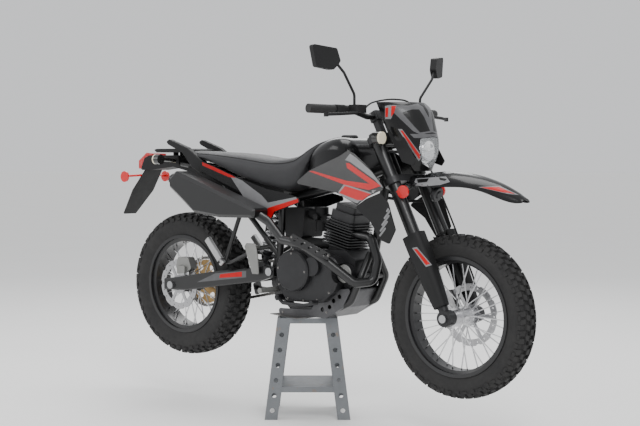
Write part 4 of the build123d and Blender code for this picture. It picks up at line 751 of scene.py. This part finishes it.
def seatRing(x, shrink=1.0):
    half, bottom, top = seatStation(x)
    middle, high = (bottom + top) / 2, (top - bottom) / 2 * shrink
    ring = []
    for step in range(seatSpec["around"]):
        angle = 2 * pi * step / seatSpec["around"]
        c, s = cos(angle), sin(angle)
        y = half * shrink * (abs(c) ** (0.5 if s > 0 else 0.28)) * (1 if c > 0 else -1)
        z = middle + high * (abs(s) ** (0.62 if s > 0 else 0.4)) * (1 if s > 0 else -1)
        if s > 0:
            z -= seatSpec["crown"] * (y / half) ** 2
        y *= 1 - seatSpec["tuck"] * max(0, (middle - z) / high)
        crease = noise.noise(Vector((x * 18, y * 30, z * 30))) * seatSpec["crease"]
        z += crease
        # the nose lies on the tank
        if x >= seatSpec["tankRear"]:
            place, _ = pressed("fuel_tank", "top", x * 1000, y * 1000, seatSpec["rest"])
            if place is not None:
                z = max(z, place.z)
        ring.append(Vector((x, y, z)))
    return ring


def addSeat():
    first, last = seatSpec["stations"][0][0], seatSpec["stations"][-1][0]
    count = int((last - first) / seatSpec["rowStep"])
    spots = [first + (last - first) * number / count for number in range(count + 1)]
    tankRear, tailZ = seatSpec["tankRear"], seatSpec["tailZ"]
    spots = [x for x in spots if abs(x - tankRear) > 0.004] + [tankRear - 0.0012, tankRear]
    rings = [seatRing(x) for x in sorted(spots)]
    rings = [[Vector((p.x - 0.004, p.y * k, tailZ + (p.z - tailZ) * k)) for p in rings[0]]
             for k in seatSpec["tailShrink"]] + rings
    around = seatSpec["around"]
    points = [p for ring in rings for p in ring]
    faces = []
    for row in range(len(rings) - 1):
        for step in range(around):
            faces.append((row * around + step, row * around + (step + 1) % around,
                          (row + 1) * around + (step + 1) % around, (row + 1) * around + step))
    last = (len(rings) - 1) * around
    faces += [tuple(range(around)), tuple(range(last, last + around))]
    seat = addPiece("seat_pad", points, faces, "vinyl", "chassis", "seat_vinyl", smooth=True)
    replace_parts(seat, "seat")
    cords = []
    for step in (5, around // 2 - 5):
        line = [ring[step] for ring in rings[3:-1]]
        cords.append(sweepTube(line, seatSpec["piping"], 8))
    points, faces = joinMeshes(*cords)
    addPiece("seat_piping", points, faces, "rubber", "chassis", "seat_vinyl", smooth=True)


addSeat()
print("seat made")

# Chain: rollers and plates round both sprockets
chainSpec = {"rear": (-0.640, 0.493, 0.1052), "front": (-0.020, 0.556, 0.0450), "y": 0.088, "pitch": 0.015875,
             "plateHigh": 0.0062, "plateWall": 0.0014, "inner": 0.0040, "outer": 0.0058, "roller": 0.0050}


def chainPath():
    (rx, rz, rr), (fx, fz, fr) = chainSpec["rear"], chainSpec["front"]
    between = sqrt((fx - rx) ** 2 + (fz - rz) ** 2)
    lean, open_ = atan2(fz - rz, fx - rx), acos((rr - fr) / between)
    up, down = lean + open_, lean - open_
    run = between * sin(open_)
    total = 2 * run + fr * (up - down) + rr * (2 * pi - (up - down))
    count = 2 * round(total / chainSpec["pitch"] / 2)
    pins = []
    for number in range(count):
        s = total * number / count
        if s < run:
            t = s / run
            pins.append((rx + rr * cos(up) + (fx + fr * cos(up) - rx - rr * cos(up)) * t,
                         rz + rr * sin(up) + (fz + fr * sin(up) - rz - rr * sin(up)) * t))
            continue
        s -= run
        if s < fr * (up - down):
            pins.append((fx + fr * cos(up - s / fr), fz + fr * sin(up - s / fr)))
            continue
        s -= fr * (up - down)
        if s < run:
            t = s / run
            pins.append((fx + fr * cos(down) + (rx + rr * cos(down) - fx - fr * cos(down)) * t,
                         fz + fr * sin(down) + (rz + rr * sin(down) - fz - fr * sin(down)) * t))
            continue
        s -= run
        pins.append((rx + rr * cos(down - s / rr), rz + rr * sin(down - s / rr)))
    return pins


def addChain():
    pins = chainPath()
    pieces = []
    for number, (x, z) in enumerate(pins):
        nextX, nextZ = pins[(number + 1) % len(pins)]
        way = Vector((nextX - x, nextZ - z))
        long = way.length
        way.normalize()
        across = Vector((-way.y, way.x))
        outline = []
        for along, high in ((-0.0050, 0.35), (-0.0030, 0.85), (0.0, 1.0), (long / 2, 0.72), (long, 1.0),
                            (long + 0.0030, 0.85), (long + 0.0050, 0.35)):
            outline.append((along, high * chainSpec["plateHigh"]))
        outline += [(along, -high) for along, high in reversed(outline)]
        gap = chainSpec["outer"] if number % 2 else chainSpec["inner"]
        for side in (-1, 1):
            points = []
            for y in (gap, gap + chainSpec["plateWall"]):
                for along, high in outline:
                    spot = Vector((x, z)) + way * along + across * high
                    points.append(Vector((spot.x, chainSpec["y"] + side * y, spot.y)))
            n = len(outline)
            faces = [tuple(range(n)), tuple(range(n, 2 * n))]
            faces += [(k, (k + 1) % n, n + (k + 1) % n, n + k) for k in range(n)]
            pieces.append((points, faces))
        pieces.append(turnedAlong((x, chainSpec["y"] - 0.0075, z), (0, 1, 0),
                                  [(0, 0.0018), (0.0035, 0.0018), (0.0036, chainSpec["roller"]),
                                   (0.0114, chainSpec["roller"]), (0.0115, 0.0018), (0.015, 0.0018)], 8))
    points, faces = joinMeshes(*pieces)
    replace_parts(addPiece("chain_links", points, faces, "darkSteel", "chassis", "brake_steel"), "chain")


addChain()

# Shock absorber with its open spring
shockSpec = {"foot": (-0.220, 0, 0.592), "head": (-0.112, 0, 0.862), "coils": 7.5, "coilRadius": 0.0305,
             "wire": 0.0050, "from": 0.060, "to": 0.228}


def addShock():
    foot, head = Vector(shockSpec["foot"]), Vector(shockSpec["head"])
    way = (head - foot).normalized()
    side = way.orthogonal().normalized()
    other = way.cross(side)
    turns = int(shockSpec["coils"] * 20)
    line = []
    for step in range(turns + 1):
        angle = 2 * pi * step / 20
        along = shockSpec["from"] + (shockSpec["to"] - shockSpec["from"]) * step / turns
        line.append(foot + way * along + (side * cos(angle) + other * sin(angle)) * shockSpec["coilRadius"])
    coil = sweepTube(line, shockSpec["wire"], 10)
    spring = addPiece("shock_spring", *coil, "steel", "chassis", "brake_steel", smooth=True)
    seatRadius = shockSpec["coilRadius"] + 0.004
    body = turnedAlong(foot, way, [
        (0.008, 0.010), (0.045, 0.012), (0.046, seatRadius), (0.053, seatRadius), (0.054, 0.020),
        (0.120, 0.020), (0.124, 0.018), (0.126, 0.008), (0.224, 0.008), (0.225, 0.016), (0.234, seatRadius),
        (0.241, seatRadius), (0.243, 0.019), (0.275, 0.016)])
    eyes = [turnedAlong(Vector(spot) + Vector((0, -0.0148, 0)), (0, 1, 0),
                        [(0, 0.006), (0, 0.015), (0.0296, 0.015), (0.0296, 0.006)]) for spot in (foot, head)]
    points, faces = joinMeshes(body, *eyes)
    damper = addPiece("shock_body", points, faces, "castBlack", "chassis", "frame_black", bevel=0.0008)
    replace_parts(spring, "shock_absorber")
    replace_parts(damper, "shock_absorber")


addShock()
print("chain and shock absorber made")

# Stripes and panels of colour, drawn in x and z on the right side, or as seen from the camera
stripeSpec = {
    "shroud": ("tank_shrouds", "right", "chassis", [
        ("silver", 0.0004, [[(321, 1028), (344, 1052), (378, 1036), (525, 946), (540, 918), (518, 927),
                             (484, 953),
                             (349, 1020)], [(327, 936), (475, 904), (464, 866), (400, 865), (294, 898)],
                            [(473, 915), (520, 915), (477, 893)]]),
        ("red", 0.0008, [[(328, 1016), (343, 1016), (517, 931), (458, 915), (333, 933), (127, 985),
                          (155, 985), (341, 948), (460, 938), (336, 997)],
                         [(334, 929), (470, 900), (462, 876), (402, 877), (306, 902)]])]),
    "sidePanel": ("side_panels", "right", "chassis", [
        ("silver", 0.0004, [[(-298, 968), (-224, 945), (-112, 885), (-79, 857), (72, 882), (88, 866),
                             (-44, 822), (-66, 790), (-96, 802), (-121, 818), (-204, 864)]]),
        ("red", 0.0008, [[(-121, 819), (-70, 838), (84, 876), (86, 862), (-44, 822), (-65, 790), (-96, 803)],
                         [(-458, 1020), (-392, 1001), (-282, 965), (-259, 955), (-300, 958),
                          (-456, 1006)]])]),
    "swingarm": ("swingarm", "right", "chassis", [
        ("grey", 0.0004, [[(-488, 512), (-380, 556), (-205, 575), (-205, 548)]]),
        ("red", 0.0008, [[(-352, 553), (-229, 570), (-229, 550), (-356, 538)]])]),
    "louvres": ("louvre_guards", "right", "chassis", [
        ("silver", 0.0005, [slotOutline(x, z, long, 8, radians(48)) for x, z, long in (
            (560, 848, 34), (553, 826, 46), (545, 804, 54), (537, 782, 54), (531, 760, 44))])]),
    "forkGuard": ("fork_guards", "view", "steering", [
        ("silver", 0.0004, [[(412, 248), (417, 247), (432, 265), (426, 267)]]),
        ("red", 0.0008, [[(414, 249), (417, 249), (430, 264), (426, 265)]])]),
    "fender": ("front_fender", "view", "steering", [
        ("silver", 0.0004, [[(413, 185), (416, 178.5), (446, 176.5), (450, 182), (440, 185), (416, 187)],
                            [(478, 187), (500, 186), (519, 195), (508, 194)]]),
        ("blackFilm", 0.0008, [[(417, 179.5), (429, 178.5), (427, 182), (418, 183)],
                               [(439, 177.5), (447, 179), (445, 181), (440, 180)]]),
        ("red", 0.0008, [[(481, 187.5), (499, 187), (515, 194), (504, 192.5)]])]),
    "cowl": ("headlight_cowl", "view", "steering", [
        # the grey film across the cowl's top is partly a silver-grey border round a black centre and partly a
        # painted highlight along its diagonal lower edge
        ("grey", 0.0004, [[(389, 105), (398, 105), (408, 105.5), (418, 103.5), (423, 107), (430, 120),
                           (434, 132), (420, 134.5), (413, 131), (394, 113)],
                          [(410, 134), (434, 134), (434.5, 138), (414, 138)]]),
        ("blackFilm", 0.0008, [[(402, 112.5), (412, 109.5), (419, 109.5), (424, 117), (430, 131),
                                (420, 132.5), (414, 126)]]),
        ("silver", 0.0004, [[(385, 119), (385, 106), (390, 105), (397, 105), (391, 119)],
                            [(398, 129), (402, 129), (423, 157.5), (418.5, 161)]]),
        ("red", 0.0008, [[(385.5, 117), (385.5, 108), (388.5, 107.5), (388, 117)],
                         [(391.5, 106), (396, 106), (394, 113), (391, 117)],
                         [(400.5, 130.5), (402.5, 130.5), (421.5, 157), (419, 159)]])]),
}


def addStripes():
    for name, (node, look, body, films) in stripeSpec.items():
        for finish, lift, outlines in films:
            addFilm(name + "_" + finish, node, look, body, finish, outlines, lift)


addStripes()
print("stripes made")

# Bolts: hexagon heads pressed onto the covers and panels
boltSpec = {
    "cover": ("chassis", "darkSteel", "right", 3.2, {
        "clutch_cover": [(-16, 532), (-10, 628), (58, 674), (150, 660), (246, 640), (276, 548), (240, 512),
                         (180, 480), (110, 476), (30, 478), (68, 660), (0, 600), (136, 590)],
        "crankcase": [(272, 596), (308, 572), (300, 610)], "heat_shield": [(112, 728), (296, 664)],
        "skid_plate": [(-30, 416), (196, 430)]}),
    "left": ("chassis", "darkSteel", "left", 3.2, {
        "generator_cover": [(70, 640), (180, 636), (216, 560), (170, 492), (86, 484), (-14, 520), (-10, 592),
                            (56, 600), (20, 494)]}),
}


def boltHead(place, normal, size):
    return turnedAlong(place - normal * 0.0004, normal, [
        (0, size * 1.5), (size * 0.2, size * 1.5), (size * 0.22, size), (size * 0.9, size),
        (size, size * 0.8)], 6)


def addBolts():
    for name, (body, finish, look, size, places) in boltSpec.items():
        heads = []
        for node, spots in places.items():
            for u, v in spots:
                place, normal = pressed(node, look, u, v, 0)
                if place is not None:
                    heads.append(boltHead(place, normal, size / 1000))
        points, faces = joinMeshes(*heads)
        addPiece(name + "_bolts", points, faces, finish, body, "brake_steel")


addBolts()

# Front brake hose, riding on the steering
hoseSpec = {
    "run": [(0.424, -0.163, 1.216), (0.436, -0.115, 1.246), (0.484, -0.040, 1.258), (0.500, 0.040, 1.238),
            (0.4725, 0.106, 1.1346), (0.5181, 0.110, 1.0411), (0.585, 0.112, 0.912), (0.6515, 0.108, 0.7835),
            (0.7198, 0.106, 0.6388), (0.7500, 0.106, 0.560), (0.7300, 0.098, 0.520)],
    "radius": 0.0034,
}
hose = sweepTube(curvedRun(hoseSpec["run"]), hoseSpec["radius"], 10)
addPiece("brake_hose", *hose, "rubber", "steering", "rubber", smooth=True)

# Horn on its strap
hornSpec = {
    "middle": (0.664, -0.022, 0.900), "axis": (0.94, 0, -0.34),
    "profile": [(-0.012, 0.010), (-0.012, 0.024), (-0.004, 0.030), (0.004, 0.030), (0.009, 0.027),
                (0.009, 0.016), (0.013, 0.012)],
    "strap": [(0.652, -0.022, 0.905), (0.632, -0.022, 0.935), (0.622, -0.022, 0.958)], "strapRadius": 0.004,
}
horn = turnedAlong(hornSpec["middle"], hornSpec["axis"], hornSpec["profile"])
strap = sweepTube(hornSpec["strap"], hornSpec["strapRadius"], 8)
addPiece("horn", *joinMeshes(horn, strap), "castBlack", "steering", "frame_black", bevel=0.0006)

# Mirror glass, drawn from behind
mirrorOutline = [(-405, 1438), (-318, 1428), (-306, 1392), (-314, 1382), (-332, 1366), (-342, 1366),
                 (-396, 1374)]
addFilm("mirror_glass", "mirrors", "rear", "steering", "mirrorGlass", [mirrorOutline], 0.0006)

# Foot between the rear caliper and the swingarm
footSpec = {"outline": [(-0.618, 0.532), (-0.618, 0.552), (-0.580, 0.552), (-0.580, 0.537)],
            "sides": (-0.102, -0.112)}
points = [Vector((x, y, z)) for y in footSpec["sides"] for x, z in footSpec["outline"]]
faces = [(0, 1, 2, 3), (4, 5, 6, 7), (0, 1, 5, 4), (1, 2, 6, 5), (2, 3, 7, 6), (3, 0, 4, 7)]
addPiece("caliper_foot", points, faces, "alloy", "chassis", "bare_alloy", bevel=0.001)

# Round starter cover at the clutch cover's front edge
capSpec = {
    "start": (0.292, -0.1084, 0.588),
    "profile": [(0, 0.0355), (0.0028, 0.0355), (0.0048, 0.0330), (0.0052, 0.022), (0.0044, 0.020),
                (0.0044, 0.0005)],
}
cap = turnedAlong(capSpec["start"], (0, -1, 0), capSpec["profile"], 44)
addPiece("starter_cap", *cap, "castPale", "chassis", "engine_grey", smooth=False)

# Flat sheets drawn in pixels of the view: under the seat, and beside the fork
sheetSpec = {
    "innerPanels": [[(188, 166), (228, 184), (230, 196), (208, 190), (190, 178)],
                    [(248, 176), (282, 186), (286, 202), (262, 198), (244, 186)]],
    "innerY": -0.085, "innerWall": 0.003,
    "cowlSkirt": [(389, 124), (399, 129), (407, 143), (416, 161), (413, 166), (402, 162), (395, 147),
                  (388, 134)],
    "cowlY": -0.096, "cowlWall": 0.004,
}


def sheetPair(outline, y, wall):
    near = [onPlane(u, v, y) for u, v in outline]
    count = len(near)
    near += [Vector((p.x, p.y + wall, p.z)) for p in near]
    faces = [tuple(range(count)), tuple(range(count, 2 * count))[::-1]]
    faces += [(k, (k + 1) % count, count + (k + 1) % count, count + k) for k in range(count)]
    return [(near, faces), mirroredMesh((near, faces))]


inner = [mesh for outline in sheetSpec["innerPanels"]
         for mesh in sheetPair(outline, sheetSpec["innerY"], sheetSpec["innerWall"])]
addPiece("inner_panels", *joinMeshes(*inner), "plastic", "chassis", "plastic_black", bevel=0.0008)

# Intake hose, between the air box and the cylinder
throatSpec = {"pixels": [(300, 240), (316, 243), (334, 244)], "y": 0.0, "radius": 0.022}
throat = sweepTube(curvedRun([onPlane(u, v, throatSpec["y"]) for u, v in throatSpec["pixels"]]),
                   throatSpec["radius"], 16)
addPiece("intake_hose", *throat, "rubber", "chassis", "rubber", smooth=True)

skirts = sheetPair(sheetSpec["cowlSkirt"], sheetSpec["cowlY"], sheetSpec["cowlWall"])
addPiece("cowl_skirts", *joinMeshes(*skirts), "plastic", "steering", "plastic_black", bevel=0.001)

# Reflector dish and bulb behind the headlight's lens
lampSpec = {
    "dishStart": (0.5974, 0, 1.062),
    "dish": [(0.000, 0.004), (0.001, 0.014), (0.004, 0.024), (0.009, 0.032), (0.014, 0.037), (0.0144, 0.0385),
             (0.0005, 0.0385)],
    "bulbStart": (0.598, 0, 1.062),
    "bulb": [(0, 0.004), (0.006, 0.0048), (0.010, 0.0056), (0.014, 0.0048), (0.0165, 0.002)],
}
dish = turnedAlong(lampSpec["dishStart"], (1, 0, 0), lampSpec["dish"], 40)
bulb = turnedAlong(lampSpec["bulbStart"], (1, 0, 0), lampSpec["bulb"], 20)
addPiece("lamp_dish", *dish, "chrome", "steering", "lamp_silver", smooth=True)
addPiece("lamp_bulb", *bulb, "whiteLens", "steering", "lens_light", smooth=True)
print("small pieces made")
